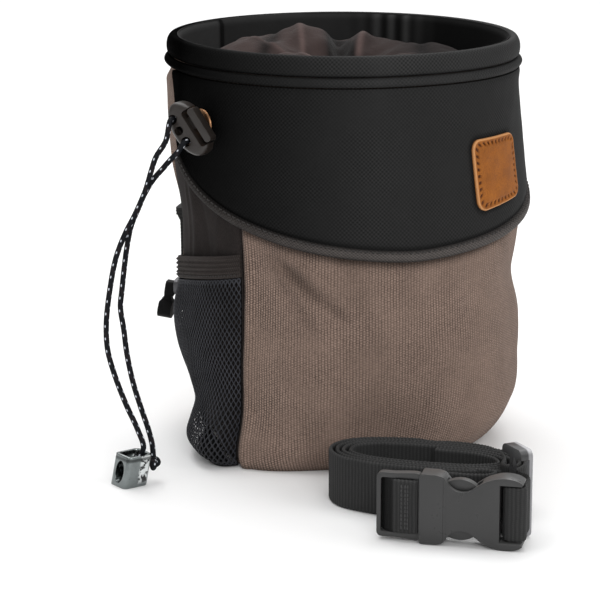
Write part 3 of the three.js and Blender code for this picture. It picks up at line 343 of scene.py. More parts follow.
class Build:
    """Meshes made from surfaces, with their pattern coordinates, finish and place in the frame."""

    @staticmethod
    def mesh(name: str, surfaces: list[Surface], attributes: Attributes | None = None) -> Mesh:
        """One closed mesh out of surfaces that share their border points.

        Points that fall together are merged, faces with no area are left out, and the whole is turned so
        that its faces point outwards, which the sign of its volume tells.

        Args:
            name: Name of the mesh.
            surfaces: The surfaces, in millimetres.
            attributes: Named values for each point of each surface, for the finish to read.

        Returns:
            The mesh, in metres.
        """
        points = np.vstack([s.points for s in surfaces])
        pattern = np.vstack([s.pattern for s in surfaces])
        starts = np.cumsum([0] + [s.count for s in surfaces])
        quads = np.vstack([s.faces + start for s, start in zip(surfaces, starts)])
        rounded = np.round(points, 4) + 0.0
        _, first, merged = np.unique(rounded, axis=0, return_index=True, return_inverse=True)
        merged = merged.ravel()
        corner = merged[quads]
        keep = np.stack([corner[:, k] != corner[:, (k + 1) % 4] for k in range(4)], axis=1)
        whole = keep.all(axis=1) & (corner[:, 0] != corner[:, 2]) & (corner[:, 1] != corner[:, 3])
        three = (keep.sum(axis=1) == 3) & (corner[:, 0] != corner[:, 2]) & (corner[:, 1] != corner[:, 3])
        triangles = quads[three][keep[three]].reshape(-1, 3)
        fours = quads[whole]
        kept = points[first]
        a, b, c, d = (kept[merged[fours[:, k]]] for k in range(4))
        volume = np.einsum("ij,ij->", a, np.cross(b, c)) + np.einsum("ij,ij->", a, np.cross(c, d))
        if len(triangles):
            e, f, g = (kept[merged[triangles[:, k]]] for k in range(3))
            volume += np.einsum("ij,ij->", e, np.cross(f, g))
        if volume < 0:
            fours, triangles = fours[:, ::-1], triangles[:, ::-1]
        mesh = bpy.data.meshes.new(name)
        faces = merged[fours].tolist() + merged[triangles].tolist()
        mesh.from_pydata((kept * MM).tolist(), [], faces)
        layer = mesh.uv_layers.new(name=PATTERN)
        corners = np.concatenate([fours.ravel(), triangles.ravel()])
        layer.data.foreach_set("uv", pattern[corners].astype(np.float32).ravel())
        for key, values in (attributes or {}).items():
            flat = np.concatenate([np.asarray(v, float).ravel() for v in values])
            attribute = mesh.attributes.new(key, "FLOAT", "POINT")
            attribute.data.foreach_set("value", flat[first].astype(np.float32))
        mesh.update()
        return mesh

    @staticmethod
    def piece(
        name: str,
        surfaces: list[Surface],
        finish: "Finish",
        *nodes: str,
        body: str = BAG_BODY,
        attributes: Attributes | None = None,
        sharp: float = 40.0,
    ) -> Piece:
        """A piece of the object from surfaces, riding on a body and standing for some of the frame's nodes.

        Args:
            name: Name of the piece.
            surfaces: Its surfaces.
            finish: Its material.
            nodes: Names of the frame's nodes that it stands for.
            body: The body that it moves with.
            attributes: Named values for each point.
            sharp: Edges that turn by more than this, in degrees, stay sharp.

        Returns:
            The object.
        """
        mesh = Build.mesh(name, surfaces, attributes)
        return Build.place(name, mesh, finish, *nodes, body=body, sharp=sharp)

    @staticmethod
    def place(
        name: str,
        mesh: Mesh,
        finish: "Finish",
        *nodes: str,
        body: str = BAG_BODY,
        sharp: float = 40.0,
        at: Matrix | None = None,
    ) -> Piece:
        """Puts a mesh into the scene, moved by a matrix; the other arguments are those of piece()."""
        if at is not None:
            mesh.transform(at)
        obj = bpy.data.objects.new(name, mesh)
        bpy.context.scene.collection.objects.link(obj)
        mesh.shade_smooth()
        mesh.set_sharp_from_angle(angle=math.radians(sharp))
        mesh.materials.clear()
        mesh.materials.append(finish.material())
        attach(obj, body)
        if nodes:
            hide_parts(*nodes)
        LOG.info("%s: %d faces", name, len(mesh.polygons))
        return obj

    @staticmethod
    def carved(
        block: Mesh,
        cutters: list[Mesh],
        joined: list[Mesh] | None = None,
        edge: float = 0.0,
        segments: int = 2,
    ) -> Mesh:
        """A block with others joined to it and some cut out of it, its new edges rounded.

        Args:
            block: The mesh to start from.
            cutters: Meshes that are cut away.
            joined: Meshes that are joined on after the cuts.
            edge: Radius of the rounding along sharp edges, in millimetres.
            segments: Steps across that rounding.

        Returns:
            A new mesh with all of it applied.
        """
        scene = bpy.context.scene.collection
        base = bpy.data.objects.new("block", block)
        scene.objects.link(base)
        helpers = [base]
        for mesh, operation in [(m, "DIFFERENCE") for m in cutters] + [(m, "UNION") for m in joined or []]:
            tool = bpy.data.objects.new("cutter", mesh)
            scene.objects.link(tool)
            helpers.append(tool)
            step = base.modifiers.new("cut", "BOOLEAN")
            step.operation = operation
            step.solver = "EXACT"
            step.object = tool
        if edge:
            rounding = base.modifiers.new("edge", "BEVEL")
            rounding.width = edge * MM
            rounding.segments = segments
            rounding.limit_method = "ANGLE"
            rounding.angle_limit = math.radians(BEVEL_ANGLE)
            rounding.harden_normals = False
        bpy.context.view_layer.update()
        shaped = base.evaluated_get(bpy.context.evaluated_depsgraph_get())
        result = bpy.data.meshes.new_from_object(shaped)
        for helper in helpers:
            bpy.data.objects.remove(helper)
        return result


# Finishes


def linear(colour: Colour) -> Colour:
    """Linear light of a colour given as screen values from 0 to 255."""
    share = np.asarray(colour, float) / 255.0
    return tuple(np.where(share <= 0.04045, share / 12.92, ((share + 0.055) / 1.055) ** 2.4))


class Nodes:
    """Node tree of one material round its surface shader."""

    def __init__(self, name: str, roughness: float) -> None:
        """Starts a material.

        Args:
            name: Name of the material.
            roughness: Roughness of its surface.
        """
        self.material = bpy.data.materials.new(name)
        self.material.use_nodes = True
        self.tree = self.material.node_tree
        self.surface = self.tree.nodes["Principled BSDF"]
        self.surface.inputs["Roughness"].default_value = roughness

    def put(self, socket: Socket, value: Value) -> None:
        """Links a socket to another or sets its value."""
        if isinstance(value, bpy.types.NodeSocket):
            self.tree.links.new(value, socket)
        elif isinstance(value, tuple) and socket.type == "RGBA":
            socket.default_value = (*value, 1.0)
        else:
            socket.default_value = value

    def node(
        self, kind: str, inputs: dict[str | int, Value] | None = None, **settings: object
    ) -> bpy.types.Node:
        """A node with some of its sockets and settings filled in."""
        made = self.tree.nodes.new(kind)
        for key, value in settings.items():
            setattr(made, key, value)
        for key, value in (inputs or {}).items():
            self.put(made.inputs[key], value)
        return made

    def calc(self, operation: str, a: Value, b: Value = 0.0, c: Value = 0.0) -> Socket:
        """One step of arithmetic."""
        return self.node("ShaderNodeMath", {0: a, 1: b, 2: c}, operation=operation).outputs[0]

    def sum(self, *terms: Value) -> Socket:
        """Sum of several values."""
        total = terms[0]
        for term in terms[1:]:
            total = self.calc("ADD", total, term)
        return total

    def times(self, *factors: Value) -> Socket:
        """Product of several values."""
        total = factors[0]
        for factor in factors[1:]:
            total = self.calc("MULTIPLY", total, factor)
        return total

    def pattern(self) -> tuple[Socket, Socket]:
        """Both pattern coordinates, in millimetres."""
        x, y, _ = self.parts(self.node("ShaderNodeUVMap", uv_map=PATTERN).outputs[0])
        return x, y

    def parts(self, vector: Socket) -> tuple[Socket, ...]:
        """The three parts of a vector."""
        return tuple(self.node("ShaderNodeSeparateXYZ", {0: vector}).outputs)

    def scaled(self, vector: Value, factor: Value) -> Socket:
        """A place or a colour times a factor."""
        inputs = {0: vector, "Scale": factor}
        return self.node("ShaderNodeVectorMath", inputs, operation="SCALE").outputs[0]

    def place(self) -> Socket:
        """Place on the object, in millimetres."""
        return self.scaled(self.node("ShaderNodeTexCoord").outputs["Object"], 1.0 / MM)

    def across(self) -> Socket:
        """Place along the line from the bag's pocket to its patch, in millimetres."""
        x, y, _ = self.parts(self.place())
        return self.sum(self.times(x, 0.924), self.times(y, -0.383))

    def facing(self) -> tuple[Socket, ...]:
        """The three parts of the direction that the surface faces."""
        return self.parts(self.node("ShaderNodeNewGeometry").outputs["Normal"])

    def attribute(self, name: str) -> Socket:
        """The value that a mesh keeps for its points under a name."""
        return self.node("ShaderNodeAttribute", attribute_name=name).outputs["Fac"]

    def noise(
        self, scale: float, detail: float = 3.0, rough: float = 0.55, vector: Socket | None = None
    ) -> Socket:
        """Soft noise from 0 to 1, with a scale for each millimetre."""
        inputs = {"Vector": vector or self.place(), "Scale": scale, "Detail": detail, "Roughness": rough}
        return self.node("ShaderNodeTexNoise", inputs).outputs[0]

    def ramp(
        self, value: Value, low: float, high: float, to_low: float = 0.0, to_high: float = 1.0
    ) -> Socket:
        """Value carried from one range to another and held at its ends."""
        inputs = {"Value": value, "From Min": low, "From Max": high, "To Min": to_low, "To Max": to_high}
        return self.node("ShaderNodeMapRange", inputs).outputs[0]

    def mix(self, share: Value, low: Value, high: Value) -> Socket:
        """Mix of two colours."""
        made = self.node("ShaderNodeMix", data_type="RGBA")
        self.put(made.inputs[0], share)
        self.put(made.inputs[6], low)
        self.put(made.inputs[7], high)
        return made.outputs[2]

    def wave(self, coordinate: Socket, pitch: float) -> Socket:
        """Wave from -1 to 1 with a pitch in millimetres, cos(2 pi x / pitch)."""
        return self.calc("COSINE", self.times(coordinate, 2.0 * math.pi / pitch))

    def relief(self, height: Value, depth: float, below: Socket | None = None) -> Socket:
        """Bump from a height of 0 to 1 that stands for a depth in millimetres."""
        inputs: dict[str | int, Value] = {"Height": height, "Distance": depth * MM, "Strength": 1.0}
        if below is not None:
            inputs["Normal"] = below
        return self.node("ShaderNodeBump", inputs).outputs[0]

    def finish(self, colour: Value, normal: Socket | None = None, **sockets: Value) -> bpy.types.Material:
        """Connects the colour, the bump and any other of the shader's sockets, and returns the material."""
        self.put(self.surface.inputs["Base Color"], colour)
        if normal is not None:
            self.put(self.surface.inputs["Normal"], normal)
        for key, value in sockets.items():
            self.put(self.surface.inputs[key.replace("_", " ")], value)
        return self.material


@dataclass(frozen=True)
class Finish:
    """A finish of one of the object's materials."""

    name: str
    slot: str
    colour: Colour

    def material(self) -> bpy.types.Material:
        """The material, made when it is first asked for."""
        return bpy.data.materials.get(self.name) or self.make()

    def make(self) -> bpy.types.Material:
        """Makes the material."""
        raise NotImplementedError


class Weave(Enum):
    """How a cloth is woven."""

    CORDED = "corded"
    BASKET = "basket"
    RIBBED = "ribbed"
    TAPE = "tape"


@dataclass(frozen=True)
class Cloth(Finish):
    """Woven cloth: a weave of a pitch in relief and painted shade, soft blotches, loose fibres, a sheen,
    painted light and shade.
    """

    weave: Weave = Weave.BASKET
    pitch: tuple[float, float] = (1.6, 1.6)
    depth: float = 0.12
    contrast: float = 0.3
    blotch: float = 0.12
    roughness: float = 0.8
    sheen: float = 0.1
    shine: float = 0.3
    fade: float = 0.5
    dim: float = 1.0
    grain: float = 0.07
    crisp: float = 1.0

    def height(self, n: Nodes) -> Socket:
        """Height of the weave from 0 to 1 out of waves of both pattern coordinates."""
        x, y = n.pattern()
        wander = n.noise(0.09, 2.0)
        x = n.sum(x, n.times(wander, 0.8))
        y = n.sum(y, n.times(wander, 0.5))
        a, b = self.pitch
        if self.weave is Weave.CORDED:
            rib = n.calc("ABSOLUTE", n.wave(x, 2.0 * a))
            beads = n.times(n.wave(x, 2.0 * a), n.wave(y, b))
            loose = n.ramp(n.noise(0.8, 3.0, 0.6), 0.3, 0.7, -0.12, 0.12)
            return n.sum(n.times(rib, 0.62), n.times(beads, 0.3), loose, 0.1)
        if self.weave is Weave.BASKET:
            return n.sum(n.times(n.wave(x, a), n.wave(y, b), 0.5), 0.5)
        if self.weave is Weave.TAPE:
            slant = n.wave(n.sum(x, n.times(y, a / b)), a)
            cross = n.wave(n.sum(x, n.times(y, -a / b)), a)
            return n.sum(n.times(slant, 0.3), n.times(cross, 0.2), 0.5)
        rib = n.wave(x, a)
        beads = n.times(n.wave(x, 2.0 * a), n.wave(y, b))
        return n.sum(n.times(rib, 0.35), n.times(beads, 0.15), 0.5)

    def towards_left(self, n: Nodes, there: float) -> Value:
        """A factor of 1 that turns into another towards the bag's left: a stronger weave there, and painted
        shade on colour and gloss.
        """
        return 1.0 if there == 1.0 else n.ramp(n.across(), -64.0, 12.0, there, 1.0)

    def make(self) -> bpy.types.Material:
        """Makes the cloth's material."""
        n = Nodes(self.name, self.roughness)
        height = self.height(n)
        fading = n.ramp(n.noise(0.05, 3.0), 0.35, 0.62, self.fade, 1.0)
        strength = n.times(fading, self.towards_left(n, self.crisp))
        shade = n.sum(1.0, n.times(n.sum(height, -0.5), strength, 2.0 * self.contrast))
        blotches = n.ramp(n.noise(0.08, 4.0, 0.6), 0.3, 0.7, 1.0 - self.blotch, 1.0 + self.blotch)
        fibres = n.ramp(n.noise(1.2, 3.0, 0.65), 0.3, 0.7, 1.0 - self.grain, 1.0 + self.grain)
        # Painted light and shade from each point's value: darker where it is positive, paler where it is
        # negative.
        painted_shading = n.ramp(n.attribute("painted_shading"), -1.0, 1.0, 1.8, 0.2)
        # Painted shade: darkens the cloth and lowers its gloss towards the bag's left.
        left = self.towards_left(n, self.dim)
        tone = n.times(shade, blotches, fibres, left, painted_shading)
        normal = n.relief(n.times(height, strength), self.depth, n.relief(n.noise(1.1, 3.0), 0.05))
        return n.finish(n.scaled(linear(self.colour), tone), normal, Sheen_Weight=self.sheen,
                        Sheen_Roughness=0.5, Specular_IOR_Level=n.times(self.shine, left))


@dataclass(frozen=True)
class Fleece(Finish):
    """Brushed lining with a soft nap; painted light and shade at its folds, painted shade on it and its nap
    on the bag's right.
    """

    nap: float = 0.35

    def make(self) -> bpy.types.Material:
        """Makes the lining's material."""
        n = Nodes(self.name, 0.95)
        cloud = n.noise(0.12, 4.0, 0.6)
        streak = n.noise(0.9, 4.0, 0.65)
        # Painted shade: darker towards the bag's right, and its nap too.
        shaded = n.ramp(n.across(), 2.0, 32.0, 1.0, 0.25)
        # Painted light and shade on the folds, from each point's value.
        painted_shading = n.ramp(n.attribute("painted_shading"), -1.0, 1.0, 1.9, 0.1)
        tone = n.times(shaded, n.sum(0.72, n.times(cloud, 0.34), n.times(streak, 0.3)), painted_shading)
        normal = n.relief(n.noise(1.6, 4.0, 0.7), 0.18, n.relief(cloud, 0.6))
        return n.finish(n.scaled(linear(self.colour), tone), normal, Sheen_Roughness=0.35,
                        Sheen_Weight=n.times(shaded, shaded, self.nap), Specular_IOR_Level=0.15)


@dataclass(frozen=True)
class Leather(Finish):
    """Tanned leather with a fine grain, a pressed stitch line and a paler cut edge."""

    def make(self) -> bpy.types.Material:
        """Makes the leather's material."""
        n = Nodes(self.name, 0.55)
        base = linear(self.colour)
        dark = linear((66, 28, 8))
        pale = linear((206, 150, 100))
        cloud = n.ramp(n.noise(0.16, 4.0, 0.6), 0.3, 0.7)
        grain = n.node("ShaderNodeTexVoronoi", {"Vector": n.place(), "Scale": 1.9}).outputs[0]
        body = n.mix(n.times(cloud, 0.75), base, linear((166, 100, 34)))
        body = n.mix(n.ramp(grain, 0.2, 0.9, 0.0, 0.3), body, dark)
        body = n.mix(n.times(n.attribute("pit"), 0.95), body, dark)
        body = n.mix(n.times(n.attribute("rim"), 0.75), body, pale)
        normal = n.relief(grain, 0.05, n.relief(n.noise(3.0, 3.0), 0.03))
        return n.finish(body, normal, Roughness=n.ramp(cloud, 0.0, 1.0, 0.5, 0.68), Specular_IOR_Level=0.22)


@dataclass(frozen=True)
class Plastic(Finish):
    """Moulded plastic with a fine spark-eroded grain, and painted light: paler where it faces up and beyond a
    place across.
    """

    roughness: float = 0.42
    grain: float = 0.02
    shine: float = 0.5
    side: float = 1.0
    side_from: float = 0.0
    up: float = 1.0

    def make(self) -> bpy.types.Material:
        """Makes the plastic's material."""
        n = Nodes(self.name, self.roughness)
        fine = n.noise(5.0, 2.0)
        cloud = n.noise(0.15, 3.0)
        # Painted light: paler beyond a place across and where the surface faces up.
        beyond = n.ramp(n.parts(n.place())[0], self.side_from, self.side_from + 0.6, 1.0, self.side)
        upward = n.ramp(n.facing()[2], 0.45, 0.95, 1.0, self.up)
        tone = n.times(beyond, upward, n.sum(0.86, n.times(fine, 0.12), n.times(cloud, 0.16)))
        rough = n.ramp(cloud, 0.3, 0.7, self.roughness - 0.06, self.roughness + 0.08)
        return n.finish(n.scaled(linear(self.colour), tone), n.relief(fine, self.grain), Roughness=rough,
                        Specular_IOR_Level=self.shine)


@dataclass(frozen=True)
class Metal(Finish):
    """Cast and tumbled metal: fine scuffs, a clouded polish and a little tarnish in soft clouds."""

    roughness: float = 0.3
    tarnish: float = 0.3

    def make(self) -> bpy.types.Material:
        """Makes the metal's material."""
        n = Nodes(self.name, self.roughness)
        base = linear(self.colour)
        cloud = n.ramp(n.noise(0.35, 4.0, 0.6), 0.3, 0.7)
        stretch = n.node("ShaderNodeMapping", {"Vector": n.place(), "Scale": (1.0, 6.0, 1.0)}).outputs[0]
        scuff = n.noise(1.4, 4.0, 0.7, stretch)
        dark = tuple(c * 0.35 for c in base)
        body = n.mix(n.times(cloud, self.tarnish), base, dark)
        rough = n.ramp(scuff, 0.3, 0.7, self.roughness - 0.08, self.roughness + 0.12)
        return n.finish(body, n.relief(scuff, 0.012), Roughness=rough, Metallic=1.0)


@dataclass(frozen=True)
class Chrome(Metal):
    """Polished metal with a painted reflection, mottled white and black, on its front's right half, and a
    dark line under its rim.
    """

    def make(self) -> bpy.types.Material:
        """Makes the metal's material."""
        n = Nodes(self.name, self.roughness)
        base = linear(self.colour)
        x, _, height = n.parts(n.place())
        across = n.sum(x, n.times(height, -CUBE_LEAN))
        right = n.times(n.ramp(n.facing()[1], -0.9, -0.7, 1.0, 0.0), n.ramp(across, -105.6, -104.6))
        cloud = n.noise(0.3, 4.0, 0.6)
        scuff = n.noise(1.4, 4.0, 0.7)
        # Painted reflection: white and black mottling on the front's right half.
        white, black = linear((226, 230, 230)), linear((52, 50, 50))
        painted_reflection = n.mix(n.ramp(n.noise(0.45, 3.0, 0.6), 0.5, 0.56), white, black)
        body = n.mix(n.ramp(cloud, 0.35, 0.65, 0.0, self.tarnish), base, tuple(c * 0.4 for c in base))
        body = n.mix(n.times(right, n.ramp(height, 1.0, 2.5), 0.9), body, painted_reflection)
        line = n.times(n.ramp(height, 10.2, 10.9), n.ramp(height, 11.6, 12.0, 1.0, 0.0))
        body = n.mix(n.times(line, 0.75), body, tuple(c * 0.12 for c in base))
        rough = n.ramp(scuff, 0.3, 0.7, self.roughness - 0.06, self.roughness + 0.1)
        return n.finish(body, n.relief(scuff, 0.01), Roughness=rough, Metallic=1.0)


@dataclass(frozen=True)
class Braid(Finish):
    """Braided cord in a dark sheath with pale flecks woven in at a regular step along it."""

    fleck: Colour = (192, 196, 204)
    fleck_pitch: float = 4.8
    pitch: float = 1.4
    slope: float = 1.4 / 1.15
    round: float = 6.9

    def make(self) -> bpy.types.Material:
        """Makes the cord's material."""
        n = Nodes(self.name, 0.6)
        along, across = n.pattern()
        quarter = self.round / 4.0
        line = n.calc("DIVIDE", across, quarter)
        rising = n.sum(along, n.times(across, self.slope))
        slant = n.wave(rising, self.pitch)
        cross = n.wave(n.sum(along, n.times(across, -self.slope)), self.pitch)
        height = n.sum(n.times(n.calc("MAXIMUM", slant, cross), 0.5), 0.5)
        side = n.calc("FLOOR", line)
        shifted = n.sum(along, n.times(side, self.fleck_pitch / 2.0))
        near = n.calc("PINGPONG", shifted, self.fleck_pitch / 2.0)
        around = n.times(n.sum(line, n.times(side, -1.0), -0.5), quarter)
        spot = n.sum(n.calc("POWER", n.calc("DIVIDE", near, 0.54), 2.0),
                     n.calc("POWER", n.calc("ABSOLUTE", n.calc("DIVIDE", around, 0.31)), 2.0))
        mark = n.ramp(spot, 0.55, 1.25, 1.0, 0.0)
        base = linear(self.colour)
        # Painted shade: darker between the braid's strands.
        body = n.mix(n.ramp(height, 0.1, 0.9, 0.75, 0.0), base, tuple(c * 0.3 for c in base))
        warm = n.ramp(n.wave(rising, 6.0 * self.pitch), 0.7, 1.0, 0.0, 0.12)
        body = n.mix(warm, body, linear((74, 52, 50)))
        body = n.mix(mark, body, linear(self.fleck))
        return n.finish(body, n.relief(height, 0.12), Specular_IOR_Level=0.15)


@dataclass(frozen=True)
class Strand(Finish):
    """Knitted strands of a mesh, with a painted highlight: paler on the rounded top than in between."""

    # Colour of the painted highlight on the strands' tops.
    top: Colour = (66, 66, 70)

    def make(self) -> bpy.types.Material:
        """Makes the mesh's material."""
        n = Nodes(self.name, 0.55)
        x, y = n.pattern()
        twist = n.wave(n.sum(x, n.times(y, 0.8)), 0.55)
        cloud = n.ramp(n.noise(0.07, 3.0), 0.35, 0.65)
        # Painted highlight on the strands' tops, from each point's value.
        painted_crest_highlight = n.times(n.attribute("top"), n.sum(0.45, n.times(cloud, 0.4)))
        body = n.mix(painted_crest_highlight, linear(self.colour), linear(self.top))
        return n.finish(body, n.relief(n.sum(n.times(twist, 0.5), 0.5), 0.06), Specular_IOR_Level=0.15)


CANVAS = Cloth("brown_canvas", "canvas", (121, 103, 93), Weave.CORDED, pitch=(1.25, 1.0), depth=0.32,
               contrast=0.62, blotch=0.09, roughness=0.95, sheen=0.05, shine=0.1, grain=0.12, crisp=1.7)
# dim below 1 is a painted shade that darkens the cloth towards the bag's left.
COLLAR_CLOTH = Cloth("black_twill", "nylon", (40, 40, 40), depth=0.14, contrast=0.6, blotch=0.06,
                     roughness=0.7, sheen=0.0, shine=0.1, fade=0.3, dim=0.02)
SIDE_CLOTH = Cloth("side_cloth", "side_nylon", (39, 35, 34), pitch=(1.2, 1.2), depth=0.07, contrast=0.1,
                   blotch=0.16, roughness=0.85, sheen=0.0, shine=0.08, grain=0.22)
BINDING_TAPE = Cloth("binding_tape", "binding", (62, 58, 56), Weave.TAPE, pitch=(1.5, 1.5), depth=0.2,
                     contrast=0.6, blotch=0.1, roughness=0.7, sheen=0.02, shine=0.2, fade=0.7, dim=0.3,
                     grain=0.15)
ELASTIC_TAPE = Cloth("elastic_tape", "side_nylon", (50, 45, 43), Weave.RIBBED, pitch=(0.9, 0.9), depth=0.1,
                     contrast=0.35, blotch=0.1, roughness=0.8, sheen=0.02, shine=0.1, fade=0.6)
WEBBING_TAPE = Cloth("belt_webbing_tape", "webbing", (43, 43, 43), Weave.RIBBED, pitch=(1.4, 0.8), depth=0.12,
                     contrast=0.4, blotch=0.08, roughness=0.72, sheen=0.02, shine=0.15, fade=0.8)
INNER_CLOTH = Cloth("inner_cloth", "nylon", (36, 36, 36), pitch=(1.0, 1.0), depth=0.05, contrast=0.1,
                    blotch=0.1, roughness=0.75, sheen=0.0, shine=0.08)
THREAD = Cloth("dark_thread", "webbing", (52, 50, 49), Weave.TAPE, pitch=(0.5, 0.5), depth=0.04, blotch=0.1,
               roughness=0.6, sheen=0.05, shine=0.2, fade=1.0)
BELT_THREAD = replace(THREAD, name="belt_thread", colour=(62, 62, 62))
LINING = Fleece("closure_lining", "fleece", (58, 47, 45), 0.05)
PATCH_LEATHER = Leather("patch_leather", "leather", (132, 74, 14))
# The second colour is the painted highlight on the knit's tops.
KNIT = Strand("pocket_knit", "mesh", (6, 6, 7), (64, 65, 71))
CORD_BRAID = Braid("cord_braid", "cord", (10, 12, 18))
LOCK_PLASTIC = Plastic("lock_plastic_brown", "lock_plastic", (37, 32, 29), roughness=0.36, shine=0.45)
# up and side are painted light: paler where the buckle faces up and on the slider's right side.
BUCKLE_PLASTIC = Plastic("buckle_plastic_grey", "buckle_plastic", (44, 44, 44), roughness=0.32, up=3.6)
SLIDER_PLASTIC = Plastic("slider_plastic_grey", "buckle_plastic", (52, 52, 53), roughness=0.32, side=7.0,
                         side_from=5.6, up=2.0)
PULL_PLASTIC = Plastic("zip_pull_plastic", "webbing", (7, 7, 7), roughness=0.6, shine=0.12)
EYELET_METAL = Metal("eyelet_bronze", "bronze", (150, 112, 82), roughness=0.36, tarnish=0.5)
CUBE_METAL = Chrome("cord_end_metal", "gunmetal", (128, 134, 134), roughness=0.2, tarnish=0.3)
ZIP_METAL = Metal("zip_metal", "gunmetal", (96, 96, 98), roughness=0.35, tarnish=0.4)


# Forms that several pieces share


class Sections:
    """Section values at shares of a length, with a smooth line through them."""

    def __init__(self, *rows: tuple[float, ...]) -> None:
        """Keeps rows of a share and its values."""
        self.rows = np.array(rows)

    def read(self, at: Array | float, column: int) -> Array:
        """Values of a column at some shares: a cubic in each gap, its slopes taken over the gaps beside."""
        t, v = self.rows[:, 0], self.rows[:, column]
        last = len(t) - 1
        k = np.clip(np.searchsorted(t, at, side="left") - 1, 0, last - 1)
        before, after = np.maximum(k - 1, 0), np.minimum(k + 2, last)
        span = t[k + 1] - t[k]
        share = np.clip((at - t[k]) / span, 0.0, 1.0)
        start = (v[k + 1] - v[before]) / (t[k + 1] - t[before]) * span
        end = (v[after] - v[k]) / (t[after] - t[k]) * span
        a = 2.0 * (v[k] - v[k + 1]) + start + end
        b = 3.0 * (v[k + 1] - v[k]) - 2.0 * start - end
        return ((a * share + b) * share + start) * share + v[k]


def turn_between(a: Array | float, b: float) -> Array:
    """Signed angle from b to a, from -180 to 180 degrees."""
    return (np.asarray(a, float) - b + 180.0) % 360.0 - 180.0


def waves_round(angle: Array, rows: tuple[tuple[float, float, float], ...]) -> Array:
    """Sum of bell curves round the bag, each row a middle angle, a spread and a rise."""
    return sum(rise * bump(turn_between(angle, middle) / spread) for middle, spread, rise in rows)


class Bag:
    """The bag's wall: superellipse sections up its height with soft bulges, and the levels set on it."""

    HALF = 71.0
    TALL = 165.0
    ARC = math.radians(1.0) * HALF
    RIM_LOW = 157.2
    WALL_TOP = 156.9
    COLLAR_TOP = 153.1
    SECTIONS = Sections(
        (0.0, 0.72, 0.76, 0.775, 0.7, 2.5), (0.03, 0.82, 0.795, 0.84, 0.78, 2.5),
        (0.08, 0.9, 0.836, 0.9, 0.85, 2.5),
        (0.15, 0.97, 0.87, 0.945, 0.91, 2.4), (0.24, 0.99, 0.893, 0.96, 0.94, 2.3),
        (0.32, 1.0, 0.896, 0.965, 0.95, 2.2), (0.42, 0.961, 0.895, 0.96, 0.95, 2.2),
        (0.55, 0.985, 0.9, 0.96, 0.955, 2.2), (0.7, 0.97, 0.95, 0.96, 0.96, 2.15),
        (0.87, 0.95, 0.96, 0.965, 0.97, 2.1), (1.0, 0.962, 0.964, 0.972, 0.98, 2.05),
    )
    BULGES = (
        (-58.0, 0.0, 0.15, 20.0, 0.09), (-106.0, 0.1, -0.065, 24.0, 0.085), (-52.0, 0.36, -0.02, 10.0, 0.2),
        (8.0, 0.3, 0.02, 26.0, 0.16), (70.0, 0.42, -0.018, 22.0, 0.05), (140.0, 0.3, 0.02, 30.0, 0.2),
        (-150.0, 0.45, -0.02, 24.0, 0.12),
    )

    @classmethod
    def radius(cls, angle: Array | float, height: Array | float) -> Array:
        """Radius (|sin a / w|^p + |cos a / d|^p)^(-1/p) of the wall, with its bulges added.

        Args:
            angle: Angle round the bag, in degrees.
            height: Height above the floor.

        Returns:
            The distance from the bag's middle line.
        """
        at = np.clip(np.asarray(height, float) / cls.TALL, 0.0, 1.0)
        sine, cosine = np.sin(radians(angle)), np.cos(radians(angle))
        right, left, front, back, power = (cls.SECTIONS.read(at, column) for column in range(1, 6))
        wide = np.where(sine >= 0, right, left) * cls.HALF
        deep = np.where(cosine >= 0, front, back) * cls.HALF
        plain = (np.abs(sine / wide) ** power + np.abs(cosine / deep) ** power) ** (-1.0 / power)
        for middle, level, out, spread, tall in cls.BULGES:
            plain = plain + out * cls.HALF * np.exp(
                -((turn_between(angle, middle) / spread) ** 2) - ((at - level) / tall) ** 2)
        return plain

    @classmethod
    def point(cls, angle: Array | float, height: Array | float, out: Array | float = 0.0) -> Array:
        """Point on the wall or some way out from it."""
        reach = cls.radius(angle, height) + out
        turn = radians(angle)
        rise = np.broadcast_to(np.asarray(height, float), np.shape(reach))
        return np.stack([reach * np.sin(turn), -reach * np.cos(turn), rise], axis=-1)

    @classmethod
    def flat(cls, angle: Array, height: Array) -> Array:
        """Pattern coordinates of places on the wall: the distance round it and the height."""
        return np.stack([angle * cls.ARC, height], axis=-1)

    @classmethod
    def sheet(cls, angle: Array, height: Array, out: Array, thick: float) -> list[Surface]:
        """A cloth on the wall: its face at a distance out and its back a thickness behind."""
        face, back = cls.point(angle, height, out), cls.point(angle, height, out - thick)
        return shell(face, back, cls.flat(angle, height))


